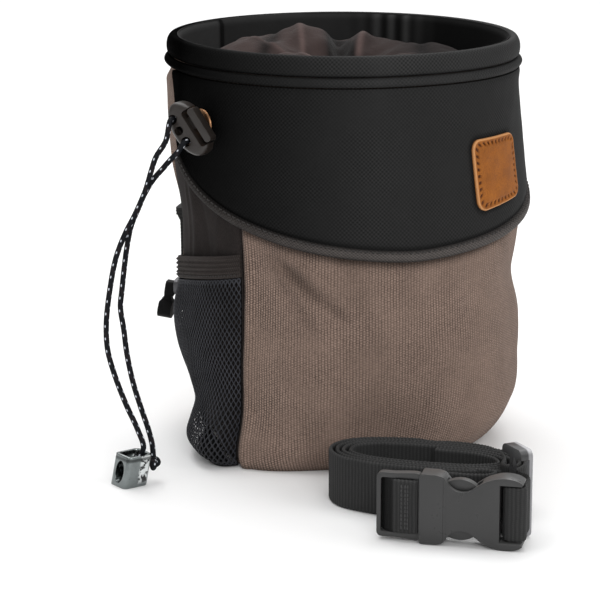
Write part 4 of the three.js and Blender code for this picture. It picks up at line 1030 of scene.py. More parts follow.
class Collar:
    """The dark yoke round the bag's upper part: its low curved edge and how far it stands out."""

    REACH = 104.0
    DROP = 72.0
    END = 92.0
    END_LEAN = 5.0

    @classmethod
    def edge_level(cls, angle: Array | float) -> Array:
        """Height of the low edge: a shallow bowl in front that climbs steeply towards both ends."""
        share = np.minimum(np.abs(angle) / cls.REACH, 0.999)
        return Bag.RIM_LOW - cls.DROP * (1.0 - share**1.5) ** 0.3

    @classmethod
    def out(cls, angle: Array | float, height: Array | float) -> Array:
        """How far its face stands out from the wall, more towards the low edge and on the right."""
        share = np.clip((Bag.COLLAR_TOP - height) / (Bag.COLLAR_TOP - cls.edge_level(angle)), 0.0, 1.0)
        return 2.1 + 2.2 * (0.55 + 0.45 * np.sin(radians(angle))) * share * share

    @classmethod
    def edge_line(cls, count: int, inset: float, top: float) -> Array:
        """Angles and heights along the low edge moved up by an inset, from the left end to the right one.

        Args:
            count: How many gaps between the points.
            inset: How far the line lies above the edge, measured square to it.
            top: Height at which it stops.

        Returns:
            Rows of an angle and a height.
        """
        side = np.sin(np.linspace(-np.pi / 2.0, np.pi / 2.0, 401))
        angle = cls.REACH * np.sign(side) * np.abs(side) ** 1.333 * 0.9999
        line = np.stack([angle * Bag.ARC, cls.edge_level(angle)], axis=1)
        along = unit(np.gradient(line, axis=0))
        line = line + inset * np.stack([-along[:, 1], along[:, 0]], axis=1)
        line = line[(line[:, 1] < top) & (np.abs(line[:, 0]) < cls.END * Bag.ARC)]
        length = running_length(line)
        want = np.linspace(0.0, length[-1], count + 1)
        x, y = (np.interp(want, length, line[:, k]) for k in range(2))
        return np.stack([x / Bag.ARC, y], axis=1)


class Side:
    """The dark cloth at the bag's left, with the mesh pocket and its elastic over it."""

    FRONT = -60.0
    TOP = 118.0
    LOW = 3.0

    @classmethod
    def back(cls, height: Array | float) -> Array:
        """Angle of the panel's back edge, which runs back as it nears the floor."""
        return -112.0 - 9.0 * np.clip((cls.TOP - np.asarray(height, float)) / cls.TOP, 0.0, 1.0) ** 0.8


@dataclass(frozen=True)
class Ring:
    """A band that runs right round the bag, given by its section in distance out and level."""

    name: str
    node: str
    finish: Finish
    section: tuple[tuple[float, float], ...]
    step: float = 0.5
    columns: int = 360
    inner_shade: float = 0.0

    def relief(self, angle: Array, level: Array) -> Array:
        """How far the band's surface is moved out of its plain section."""
        return 0.12 * soft_noise(angle, level * 2.0, 40.0, 11)

    def build(self) -> Piece:
        """Sweeps the section round the bag, rounded by a closed smooth line."""
        loop = np.array([*self.section, self.section[0]])
        line = even_points(loop, self.step)
        soft = line[:-1]
        for _ in range(3):
            soft = 0.5 * soft + 0.25 * (np.roll(soft, 1, axis=0) + np.roll(soft, -1, axis=0))
        line = np.vstack([soft, soft[:1]])
        angle, out = np.meshgrid(np.linspace(-180.0, 180.0, self.columns + 1), line[:, 0], indexing="ij")
        level = np.broadcast_to(line[:, 1], angle.shape)
        middle = np.mean(line[:, 0])
        puff = self.relief(angle, level) * np.sign(out - middle) * (np.abs(angle) < 179.99)
        points = Bag.point(angle, level, out + puff)
        points[-1] = points[0]
        pattern = Bag.flat(angle, np.broadcast_to(running_length(line), angle.shape))
        # Painted shade on the band's inner face, away from the front.
        painted_shading = self.inner_shade * soft_step(56.0, 90.0, np.abs(angle)) * soft_step(-1.6, -0.4, -out)
        return Build.piece(self.name, [grid(points, pattern)], self.finish, self.node,
                           attributes={"painted_shading": [painted_shading]})


# Floor, lights and camera


class Studio:
    """A white table that runs on behind the bag, five soft lights round it and the camera in front."""

    CAMERA = (-0.3987, -0.9171, 0.295)
    PITCH = 90.0 - 13.51
    HEADING = -22.5
    LENS = 150.0
    SENSOR = 36.0
    FLOOR = 3.0
    SURROUNDINGS = 0.42
    LIGHTS = (
        ("key", (0.62, -0.55, 0.62), (0.0, 0.0, 0.09), (0.5, 0.6), 1.7),
        ("front", (-0.35, -1.5, 0.75), (0.0, -0.02, 0.09), (0.9, 0.7), 11.0),
        ("left", (-0.75, -0.1, 0.35), (-0.05, 0.0, 0.07), (0.25, 0.6), 0.3),
        ("top", (0.05, 0.35, 1.3), (0.0, 0.1, 0.0), (1.3, 1.3), 16.5),
        ("behind", (0.6, 1.9, 1.2), (0.6, 1.9, 0.0), (1.6, 1.6), 14.0),
    )

    def build(self) -> None:
        """Places floor, lights, surroundings and camera."""
        self.floor()
        for light in self.LIGHTS:
            self.light(*light)
        self.surroundings()
        self.camera()
        view = bpy.context.scene.view_settings
        view.view_transform = "Standard"
        view.look = "None"
        view.exposure = 0.0
        view.gamma = 1.0

    def floor(self) -> None:
        """A white floor that the object stands on."""
        n = Nodes("white_floor", 0.6)
        shade = n.mix(n.noise(0.01, 2.0), (0.9, 0.9, 0.9), (0.93, 0.93, 0.93))
        material = n.finish(shade, Specular_IOR_Level=0.2)
        half = self.FLOOR
        mesh = bpy.data.meshes.new("floor")
        corners = [(-half, -half, 0.0), (half, -half, 0.0), (half, half, 0.0), (-half, half, 0.0)]
        mesh.from_pydata(corners, [], [(0, 1, 2, 3)])
        mesh.materials.append(material)
        obj = bpy.data.objects.new("floor", mesh)
        bpy.context.scene.collection.objects.link(obj)

    def light(self, name: str, place: Place, target: Place, size: Spot, power: float) -> None:
        """An area light.

        Args:
            name: Name of the light.
            place: Where it stands, in metres.
            target: Where it points.
            size: Its width and height.
            power: Its power in watts.
        """
        data = bpy.data.lights.new(name, "AREA")
        data.shape = "RECTANGLE"
        data.size, data.size_y = size
        data.energy = power
        obj = bpy.data.objects.new(name, data)
        bpy.context.scene.collection.objects.link(obj)
        obj.location = place
        aim = Vector(target) - Vector(place)
        obj.rotation_euler = aim.to_track_quat("-Z", "Y").to_euler()

    def surroundings(self) -> None:
        """Plain white surroundings."""
        world = bpy.data.worlds.new("surroundings")
        bpy.context.scene.world = world
        world.use_nodes = True
        background = world.node_tree.nodes["Background"]
        background.inputs["Color"].default_value = (1.0, 1.0, 1.0, 1.0)
        background.inputs["Strength"].default_value = self.SURROUNDINGS

    def camera(self) -> None:
        """The camera, fitted to the photograph's view."""
        data = bpy.data.cameras.new("camera")
        data.lens = self.LENS
        data.sensor_width = self.SENSOR
        data.clip_end = 20.0
        obj = bpy.data.objects.new("camera", data)
        bpy.context.scene.collection.objects.link(obj)
        obj.location = self.CAMERA
        obj.rotation_euler = (math.radians(self.PITCH), 0.0, math.radians(self.HEADING))
        bpy.context.scene.camera = obj


# Drawcord, lock and metal end


@dataclass(frozen=True)
class LockFrame:
    """Axes of the cord lock: along its holes' row, across its thickness and out along the cords."""

    along: Place = (0.3933, -0.4368, -0.8090)
    across: Place = (0.5413, -0.6012, 0.5878)
    out: Place = (-0.7431, -0.6691, 0.0)
    middle: Place = (-74.93, -26.33, 135.2)
    holes: Spot = (-1.3, -3.0)
    apart: float = 5.0

    def place(self, points: Array) -> Array:
        """Points given along the lock's own axes, in the frame's axes."""
        return points @ np.array([self.along, self.across, self.out]) + np.array(self.middle)

    def centre(self, side: float) -> Spot:
        """Middle of the first or the second cord hole, in the lock's own axes."""
        return side * self.apart + self.holes[0], self.holes[1]


LOCK = LockFrame()
EYELET_ANGLE = -73.5
EYELET_LEVEL = 135.2


class Drawcord:
    """The cord's two strands, from inside the bag through eyelet and lock to the metal end and the knot."""

    THICK = 2.2
    SIDES = 18
    STEP = 0.3
    SEAT = 3.03
    KNOT_SIZE = 0.62
    KNOT_SIDES = 14
    KNOT_FILL = (0.9, 1.4, 1.6, 1.7, 1.7, 1.7, 1.7, 1.7, 1.6, 1.4, 1.2, 1.0)
    CUBE = (-106.6, -38.8, 0.0)
    CUBE_TURN = 14.0
    ROUTE_A = (
        (-85.2, -26.2, 130.9), (-89.5, -26.7, 124.9), (-91.9, -27.6, 119.4), (-94.5, -28.5, 112.7),
        (-99.0, -28.4, 103.3), (-102.5, -28.1, 97.0), (-106.4, -27.6, 87.4), (-109.3, -27.7, 74.2),
        (-111.2, -28.7, 61.7), (-111.3, -30.1, 52.2), (-109.7, -32.2, 43.5), (-106.3, -35.8, 31.6),
        (-102.6, -39.2, 21.3), (-101.0, -40.8, 14.5), (-102.9, -39.9, 10.0),
    )
    ROUTE_B = (
        (-81.4, -29.2, 126.9), (-84.4, -28.4, 123.7), (-87.0, -27.6, 120.6), (-90.7, -26.5, 116.2),
        (-94.0, -26.0, 110.9), (-96.7, -25.9, 105.2), (-99.5, -25.9, 99.0), (-101.7, -26.6, 90.5),
        (-104.9, -29.2, 74.1), (-105.8, -30.0, 68.4), (-105.1, -31.6, 59.6), (-104.6, -33.2, 50.8),
        (-103.1, -35.5, 39.8), (-100.6, -37.4, 29.5), (-98.3, -38.8, 21.3), (-96.9, -39.2, 15.0),
        (-96.4, -38.9, 10.0),
    )

    def route(self, side: float, strand: tuple[Place, ...]) -> Array:
        """Points of a strand's middle line.

        Args:
            side: -1 for the first hole of the lock, 1 for the second.
            strand: Where the strand runs past the lock.

        Returns:
            Evenly spaced points in millimetres.
        """
        inside = Bag.point(EYELET_ANGLE, EYELET_LEVEL - side * 1.3, self.SEAT - 1.5)
        mouth = Bag.point(EYELET_ANGLE, EYELET_LEVEL - side * 1.5, self.SEAT + 2.0)
        holes = LOCK.place(np.array([(*LOCK.centre(side), at) for at in (-4.6, 0.0, 5.2)]))
        return smooth_route(np.vstack([inside, mouth, holes, np.array(strand)]), self.STEP)

    def strand(self, name: str, node: str, path: Array, far_end: str, partner: Piece) -> None:
        """A braided strand along its path.

        Args:
            name: Name of the piece.
            node: The frame's node that it stands for.
            path: Its middle line.
            far_end: What ends it; not used.
            partner: The piece at its end; not used.
        """
        length = running_length(path)
        tube = round_tube(path, self.THICK / 2.0 - 0.03, self.SIDES, BACKWARD)
        pattern = crossed(length, full_turn(self.SIDES) * self.THICK / 2.0)
        obj = Build.piece(name, capped_tube(tube, pattern), CORD_BRAID, node, sharp=60.0)
        line = even_points(path, 4.0) * MM

    def knot(self, end: Array) -> Piece:
        """An overhand knot: the trefoil (sin t + 2 sin 2t, cos t - 2 cos 2t, -1.5 sin 3t) round the end."""
        t = full_turn(160)
        x, y = np.sin(t) + 2.0 * np.sin(2.0 * t), np.cos(t) - 2.0 * np.cos(2.0 * t)
        curve = self.KNOT_SIZE * np.stack([x, y, -1.5 * np.sin(3.0 * t)], axis=1)
        centre = end + np.array([0.1, 0.1, -2.7])
        tube = round_tube(curve, 1.0, self.KNOT_SIDES, UPWARD)
        tube = tube[..., [0, 2, 1]] * np.array([1.0, 1.0, 1.05]) + centre
        tube[-1] = tube[0]
        pattern = crossed(running_length(curve), np.linspace(0.0, 6.3, self.KNOT_SIDES + 1))
        core = np.linspace(-2.1, 2.3, len(self.KNOT_FILL))[:, None] * UPWARD + centre
        fill = round_tube(core, np.array(self.KNOT_FILL), self.KNOT_SIDES, BACKWARD)
        return Build.piece("knot_of_cord", [grid(tube, pattern), *capped_tube(fill)], CORD_BRAID, "cord_knot",
                           sharp=60.0)

    def cube(self) -> Piece:
        """The cast metal end: a leaning cube, open on top and with an oval hole through its sides."""
        block = carving_block((10.9, 10.9, 12.5), (0.0, 0.0, 6.25), 2.0)
        window = carving_block((8.2, 8.2, 9.0), (0.0, 0.0, 11.6), 1.0)
        through = carving_oval(2.8, 4.3, 14.0, (0.0, 0.0, 6.0), "x")
        mesh = Build.carved(block, [window, through], edge=0.4, segments=3)
        lean = Matrix.Identity(4)
        lean[0][2], lean[1][2] = CUBE_LEAN, -0.069
        at = shift(self.CUBE) @ lean @ spin(self.CUBE_TURN, "Z")
        return Build.place("cube_metal", mesh, CUBE_METAL, "cord_end_cube", sharp=35.0, at=at)

    def cube_knot(self) -> Piece:
        """The knot that holds the strand inside the metal end, seen through its hole."""
        path = [(-102.8, -39.9, 10.5), (-104.9, -39.4, 8.4), (-106.7, -38.9, 6.4), (-106.1, -39.1, 4.4)]
        line = smooth_route(np.array(path), self.STEP)
        reach = 1.1 + 1.2 * np.sin(np.linspace(0.0, np.pi, len(line)))
        tube = round_tube(line, reach, self.KNOT_SIDES, BACKWARD)
        return Build.piece("knot_in_cube", capped_tube(tube), CORD_BRAID)

    def build(self) -> None:
        """Builds both strands with what ends them."""
        first, second = self.route(-1.0, self.ROUTE_A), self.route(1.0, self.ROUTE_B)
        cube = self.cube()
        self.cube_knot()
        self.strand("strand_to_cube", "drawcord_a", first, "fitting", cube)
        self.strand("strand_to_knot", "drawcord_b", second, "knot", self.knot(second[-1]))


def carving_block(size: Place, middle: Place, corner: float) -> Mesh:
    """A block with rounded upright edges, in metres.

    Args:
        size: Its three sizes in millimetres.
        middle: Its middle in millimetres.
        corner: Radius of its upright edges.

    Returns:
        The mesh.
    """
    turn = full_turn(48)[:, None]
    round_part = np.hstack([np.cos(turn), np.sin(turn)])
    straight = np.sign(round_part) * (np.abs(round_part) > 1e-9) * (np.array(size[:2]) / 2 - corner)
    half = size[2] / 2
    return prism(straight + corner * round_part, middle[2] - half, middle[2] + half, middle[:2])


def carving_oval(half_y: float, half_z: float, long: float, middle: Place, axis: str) -> Mesh:
    """An oval bar for cutting holes, in metres: half sizes and length in millimetres, along x or z."""
    x, y = rounded_loop(half_y, half_z, 2.0, 40)
    mesh = prism(np.stack([x, y], axis=1), -long / 2, long / 2)
    mesh.transform(shift(middle) @ (spin(90.0, "Z") @ spin(90.0, "X") if axis == "x" else Matrix.Identity(4)))
    return mesh


def prism(outline: Array, low: float, high: float, middle: Spot = (0.0, 0.0)) -> Mesh:
    """A straight block over a closed outline without repeated end, in metres.

    Args:
        outline: Points of the outline in millimetres, its last one near or on its first.
        low: Level of its bottom.
        high: Level of its top.
        middle: Where the outline's own zero is placed.

    Returns:
        The mesh, its side faces facing outwards.
    """
    if np.allclose(outline[0], outline[-1]):
        outline = outline[:-1]
    x, y = outline[:, 0] + middle[0], outline[:, 1] + middle[1]
    if np.sum(x * np.roll(y, -1) - np.roll(x, -1) * y) < 0:
        x, y = x[::-1], y[::-1]
    count = len(x)
    points = np.vstack([np.stack([x, y, np.full(count, z)], axis=1) for z in (low, high)]) * MM
    k = np.arange(count)
    after = (k + 1) % count
    sides = np.stack([k, after, after + count, k + count], axis=1).tolist()
    ends = [list(range(count - 1, -1, -1)), list(range(count, 2 * count))]
    mesh = bpy.data.meshes.new("prism")
    mesh.from_pydata(points.tolist(), [], [*ends, *sides])
    return mesh


class CordLock:
    """The spring lock on the cord: an oval body with two cord holes and a sprung button with its bar."""

    def matrix(self) -> Matrix:
        """The lock's own axes in the frame's, for meshes in metres."""
        rows = Matrix((LOCK.along, LOCK.across, LOCK.out)).transposed().to_4x4()
        return shift(LOCK.middle) @ rows

    def build(self) -> None:
        """Builds body and button."""
        x, y = rounded_loop(11.5, 6.7, 2.0, 72)
        body = Build.carved(prism(np.stack([x, y], axis=1), -4.0, 4.0), [], edge=2.3, segments=6)
        notch = carving_block((15.6, 14.0, 12.0), (1.3, 8.6, 0.0), 1.2)
        slot = carving_block((5.8, 6.2, 3.2), (-1.3, -1.5, 0.0), 0.6)
        window = carving_oval(1.7, 2.0, 8.0, (-1.3, -3.0, 4.0), "z")
        bores = [carving_oval(1.9, 2.2, 12.0, (*LOCK.centre(side), 0.0), "z") for side in (-1, 1)]
        mesh = Build.carved(body, [notch, slot, window, *bores], edge=0.45, segments=3)
        Build.place("lock_body_shell", mesh, LOCK_PLASTIC, "cord_lock_body", at=self.matrix())
        bar = carving_block((14.8, 3.0, 4.8), (1.3, 5.2, 0.8), 1.4)
        finger = carving_block((5.0, 6.2, 2.6), (-1.3, 1.3, 0.0), 0.4)
        mesh = Build.carved(bar, [], [finger], edge=0.5, segments=3)
        Build.place("lock_button_bar", mesh, LOCK_PLASTIC, "cord_lock_button", body=BUTTON_BODY,
                    at=self.matrix())


class Eyelet:
    """The bronze eyelet: its profile turned round the axis that stands out of the collar."""

    PROFILE = ((3.0, -2.5), (3.7, -2.5), (3.7, 0.0), (6.3, 0.0), (6.3, 0.3), (5.95, 0.8), (5.2, 1.15),
               (4.4, 1.25), (3.7, 1.1), (3.2, 0.6), (3.0, -0.4))

    def build(self) -> None:
        """Turns the profile round and places it."""
        loop = np.array([*self.PROFILE, self.PROFILE[0]])
        line = even_points(loop, 0.3)
        turn = full_turn(96)
        angle = math.radians(EYELET_ANGLE)
        normal = np.array([math.sin(angle), -math.cos(angle), 0.0])
        side = np.array([math.cos(angle), math.sin(angle), 0.0])
        seat = Bag.point(EYELET_ANGLE, EYELET_LEVEL, Collar.out(EYELET_ANGLE, EYELET_LEVEL) + 0.3)
        ring = np.cos(turn)[:, None, None] * side + np.sin(turn)[:, None, None] * UPWARD
        points = seat + ring * line[None, :, :1] + normal * line[None, :, 1:]
        points[-1] = points[0]
        Build.piece("eyelet_ring", [grid(points)], EYELET_METAL, "eyelet", sharp=50.0)


# Cloth of the bag


class CanvasBody:
    """The canvas wall and base: one closed sheet with seams, creases and a rounded foot."""

    COLUMNS = 480
    WALL, BASE = 2.5, 2.0
    UNDER_COLLAR = 89.0
    CREASES = (
        ((-53.0, 83.5), (-38.0, 72.5), 1.5, -0.8), ((-57.5, 85.0), (-33.0, 67.0), 1.5, -0.5),
        ((-50.0, 86.0), (-33.0, 74.5), 1.9, 0.7), ((-56.0, 79.5), (-41.0, 67.0), 2.2, 0.5),
        ((-62.0, 60.0), (-50.0, 44.0), 2.6, 0.3), ((30.0, 84.0), (56.0, 70.0), 3.5, 0.35),
        ((-20.0, 5.0), (14.0, 9.0), 3.0, 0.3), ((34.0, 8.0), (62.0, 22.0), 3.6, 0.4),
        ((-66.0, 12.0), (-40.0, 5.0), 2.6, 0.4),
    )
    # Painted shade along creases: each row a start, an end, a width and a rise.
    SHADES = (
        ((-56.0, 86.0), (-30.0, 66.0), 3.4, 0.4), ((-52.0, 82.0), (-40.0, 72.0), 2.0, 0.2),
        ((-60.0, 84.0), (-42.0, 62.0), 3.0, 0.18), ((-28.0, 84.0), (-18.0, 62.0), 5.0, 0.12),
    )

    def relief(self, angle: Array, height: Array) -> Array:
        """How far the cloth stands out of the plain wall: seams, creases and soft unevenness."""
        x = angle * Bag.ARC
        above = height - Collar.edge_level(angle)
        free = 1.0 - soft_step(0.0, 1.0, (above + 2.0) / 6.0) * (np.abs(angle) < Collar.REACH)
        soft = 0.45 * soft_noise(x, height, 44.0, 3) + 0.16 * soft_noise(x, height, 15.0, 5)
        soft = soft * soft_step(0.0, 14.0, height) + creases(x, height, self.CREASES)
        seam = 1.3 * bump((x + 70.8) / 2.3) - 0.9 * bump((x + 74.2) / 0.8)
        gather = 0.14 * np.sin(x * 0.9 + 1.3 * np.sin(x * 0.31)) * bump(above / 9.0)
        full = 2.6 * bump((angle + 122.0) / 17.0) * soft_step(90.0, 142.0, height)
        full = full * (1.0 - soft_step(146.0, 152.0, height))
        return (soft + gather) * free + seam * (height < Side.TOP) + full

    def painted_shading(self, angle: Array, height: Array) -> Array:
        """How deep the painted shade on the cloth is, -1 to 1: in creases, beside the seam, at floor and
        collar, a little uneven.
        """
        x = angle * Bag.ARC
        total = creases(x, height, self.SHADES) + 0.07 * soft_noise(x, height, 26.0, 71) * (np.abs(x) < 90.0)
        total = total + 0.8 * bump((x + 74.0) / 1.2) + 0.5 * bump(height / 1.6)
        line = 0.8 * bump((height - Collar.edge_level(angle) + 0.7) / 2.0)
        covered = 2.0 * soft_step(147.0, 150.0, height)
        total = total + (covered + line) * (np.abs(angle) < self.UNDER_COLLAR)
        return np.clip(total, -1.0, 1.0)

    def under_panel(self, angle: Array, height: Array) -> Array:
        """Share of 1 where the side panel lies in the canvas."""
        front = 1.0 - soft_step(Side.FRONT - 0.6, Side.FRONT + 0.2, angle)
        back = soft_step(-0.2, 0.6, angle - Side.back(height))
        return front * back * (1.0 - soft_step(Side.TOP - 0.8, Side.TOP + 0.4, height))

    def build(self) -> Piece:
        """Runs one line per angle from the base's middle up the outside and down the inside."""
        outside = np.concatenate([np.linspace(0.0, 6.0, 13), np.linspace(6.9, Bag.WALL_TOP, 152)])
        inside = np.linspace(Bag.WALL_TOP, self.BASE, 22)
        angle = np.linspace(-180.0, 180.0, self.COLUMNS + 1)
        a, h = np.meshgrid(angle, outside, indexing="ij")
        sunk = self.under_panel(a, h)
        out = self.relief(a, h) * (1.0 - sunk) - 1.9 * sunk
        outer = Bag.point(a, h, out)
        inner = Bag.point(*np.meshgrid(angle, inside, indexing="ij"), -self.WALL)
        middle = np.zeros_like(outer[:, :1])
        wall = np.concatenate([middle, outer, inner, middle + self.BASE * UPWARD], axis=1)
        wall[-1] = wall[0]
        level = np.concatenate([[-30.0], outside, 2 * Bag.WALL_TOP - inside, [2 * Bag.WALL_TOP + 30.0]])
        pattern = crossed(angle * Bag.ARC, level)
        painted_shading = np.zeros(wall.shape[:2])
        painted_shading[:, 1:len(outside) + 1] = self.painted_shading(a, h)
        return Build.piece("canvas_cloth", [grid(wall, pattern)], CANVAS, "canvas_body", sharp=55.0,
                           attributes={"painted_shading": [painted_shading]})


class SidePanel:
    """The dark cloth let into the bag's left side, behind the mesh pocket."""

    THICK = 1.5
    FOLDS = (
        ((-112.0, 74.0), (-108.0, 112.0), 4.5, 1.1), ((-99.0, 84.0), (-102.0, 106.0), 3.0, -0.5),
        ((-92.0, 80.0), (-86.0, 104.0), 3.4, 0.5), ((-120.0, 82.0), (-117.0, 104.0), 3.0, 0.5),
    )

    def build(self) -> Piece:
        """One sheet with soft folds above the pocket and its edges drawn into the seams."""
        u, v = shares(121, 141)
        height = blend(Side.LOW, Side.TOP, v)
        angle = blend(Side.back(height) + 0.2, Side.FRONT - 0.2, u)
        x = angle * Bag.ARC
        soft = 0.3 * soft_noise(x, height, 34.0, 21) + creases(x, height, self.FOLDS)
        above = soft_step(68.0, 80.0, height) * (1.0 - soft_step(108.0, 116.0, height))
        edge = np.minimum((angle - Side.back(height)) * Bag.ARC, (Side.FRONT - angle) * Bag.ARC)
        out = soft * above - 0.9 * bump(edge) - 0.1
        surfaces = Bag.sheet(angle, height, out, self.THICK)
        return Build.piece("side_cloth_panel", surfaces, SIDE_CLOTH, "side_panel")


class CollarCloth:
    """The collar's cloth: soft, a little uneven, drawn in along its binding and under the piping."""

    LOW = 3.2
    SEAM = 5.2
    THICK = 1.5

    def build(self) -> Piece:
        """One sheet from the binding up to the piping."""
        edge = Collar.edge_line(260, self.LOW, Bag.COLLAR_TOP - 9.0)
        span = edge[-1, 0] + Collar.END_LEAN
        v = np.linspace(0.0, 1.0, 72)
        angle = blend(edge[:, :1], np.linspace(-span, span, len(edge))[:, None], v[None, :])
        height = blend(edge[:, 1:], Bag.COLLAR_TOP - 0.3, v[None, :])
        x = angle * Bag.ARC
        above = height - Collar.edge_level(angle)
        relief = 0.42 * soft_noise(x, height, 52.0, 31) + 0.1 * soft_noise(x, height, 17.0, 33)
        relief = relief * soft_step(3.0, 12.0, above) * soft_step(0.0, 6.0, Bag.COLLAR_TOP - height)
        relief = relief + 0.3 * soft_step(5.0, 9.0, above) - 0.55 * bump((above - self.SEAM) / 1.3)
        relief = relief - 0.5 * bump((Bag.COLLAR_TOP - height) / 1.1)
        relief = relief - 0.5 * bump(np.hypot((angle - EYELET_ANGLE) * Bag.ARC, height - EYELET_LEVEL) / 8.5)
        surfaces = Bag.sheet(angle, height, Collar.out(angle, height) + relief, self.THICK)
        # Painted shade round the leather patch and along the binding's seam.
        beside = bump(np.clip((PATCH.inset(*PATCH.local(angle, height)) + 0.5) / 1.7, -1.0, 1.0))
        beside = np.maximum(beside, bump((above - 5.0) / 1.6))
        shade = first_only(surfaces, 0.95 * beside)
        return Build.piece("collar_cloth", surfaces, COLLAR_CLOTH, "collar", attributes={"painted_shading": shade})


class Binding:
    """The folded tape along the collar's low edge, with its row of stitches."""

    WIDTH = 5.2
    STITCHES = 95

    def line(self, inset: float, count: int) -> Array:
        """Line along the tape at a distance from the edge."""
        return Collar.edge_line(count, inset, Bag.COLLAR_TOP - 0.3)

    def build(self) -> None:
        """A rounded tape and the stitches along its upper side."""
        low, high = self.line(0.0, 420), self.line(self.WIDTH, 420)
        v = np.linspace(0.0, 1.0, 19)
        angle = blend(low[:, :1], high[:, :1], v[None, :])
        height = blend(low[:, 1:], high[:, 1:], v[None, :])
        base = Collar.out(angle, height)
        puff = (1.0 - np.abs(2.0 * v - 1.0) ** 2.4) ** 0.6
        stitch = np.cos(2.0 * np.pi * np.linspace(0.0, self.STITCHES + 1.0, len(low)))
        pull = 0.12 * stitch[:, None] * bump((v - 0.8) / 0.12)[None, :]
        groove = 0.26 * bump((v - 0.8) / 0.09)
        inner = np.maximum(base - 2.2, 0.4)
        outer = blend(inner + 0.2, base + 1.1, puff[None, :]) - groove[None, :] + pull
        along = np.broadcast_to(running_length(low * np.array([Bag.ARC, 1.0]))[:, None], angle.shape)
        pattern = np.stack([along, np.broadcast_to(v * 7.0, angle.shape)], axis=-1)
        # Painted shade along the tape's edges and a painted highlight along its middle.
        edge = soft_step(0.4, 0.85, np.abs(2.0 * v - 1.0)) - 0.35 * bump((v - 0.5) / 0.4)
        surfaces = shell(Bag.point(angle, height, outer), Bag.point(angle, height, inner), pattern)
        shade = first_only(surfaces, np.broadcast_to(edge, angle.shape), 1.0)
        Build.piece("binding_tape", surfaces, BINDING_TAPE, "collar_binding", sharp=60.0,
                    attributes={"painted_shading": shade})
        seam = self.line(4.15, self.STITCHES)
        ends = np.stack([seam[:-1], seam[1:]], axis=1)
        Stitches.row("binding_stitches", ends, lambda a, h: Collar.out(a, h) + 0.75, THREAD, 0.62, 0.27)


class Stitches:
    """Rows of thread, each stitch a short rounded bar that dips into the cloth at both ends."""

    @staticmethod
    def bars(start: Array, end: Array, out: Array, radius: float) -> Surface:
        """All stitches of a row at once.

        Args:
            start: Where each stitch starts, in millimetres.
            end: Where it ends.
            out: The direction away from the cloth at each stitch.
            radius: The thread's radius.

        Returns:
            One surface with a small closed bar for each stitch.
        """
        share = np.array([0.0, 0.02, 0.12, 0.3, 0.5, 0.7, 0.88, 0.98, 1.0])
        swell = np.array([0.0, 0.55, 0.95, 1.0, 1.0, 1.0, 0.95, 0.55, 0.0])
        arch = (1.0 - (2.0 * share - 1.0) ** 2) * 0.9 - 0.35
        turn = full_turn(8)
        along = unit(end - start)
        side = np.cross(along, out)
        middle = start[:, None] + (end - start)[:, None] * share[None, :, None]
        middle = middle + out[:, None] * (arch * radius)[None, :, None]
        ring = np.cos(turn)[None, :, None] * side[:, None] + 0.8 * np.sin(turn)[None, :, None] * out[:, None]
        points = middle[:, :, None] + ring[:, None] * (swell * radius)[None, :, None, None]
        points[:, :, -1] = points[:, :, 0]
        pattern = np.broadcast_to(crossed(2.0 * share, radius * turn), (*points.shape[:3], 2))
        return copies(points, pattern)

    @staticmethod
    def row(
        name: str,
        ends: Array,
        out: Callable[[Array, Array], Array],
        finish: Finish,
        share: float,
        radius: float,
    ) -> Piece:
        """A row on the bag's wall.

        Args:
            name: Name of the piece.
            ends: For each stitch two rows of an angle and a height.
            out: Distance out from the wall at an angle and a height.
            finish: The thread.
            share: Part of each step that the stitch covers.
            radius: The thread's radius.

        Returns:
            The object.
        """
        middle, half = ends.mean(axis=1), (ends[:, 1] - ends[:, 0]) * share / 2.0
        tips = [Bag.point(p[:, 0], p[:, 1], out(p[:, 0], p[:, 1])) for p in (middle - half, middle + half)]
        turn = radians(middle[:, 0])
        away = np.stack([np.sin(turn), -np.cos(turn), np.zeros_like(turn)], axis=1)
        return Build.piece(name, [Stitches.bars(tips[0], tips[1], away, radius)], finish, sharp=60.0)


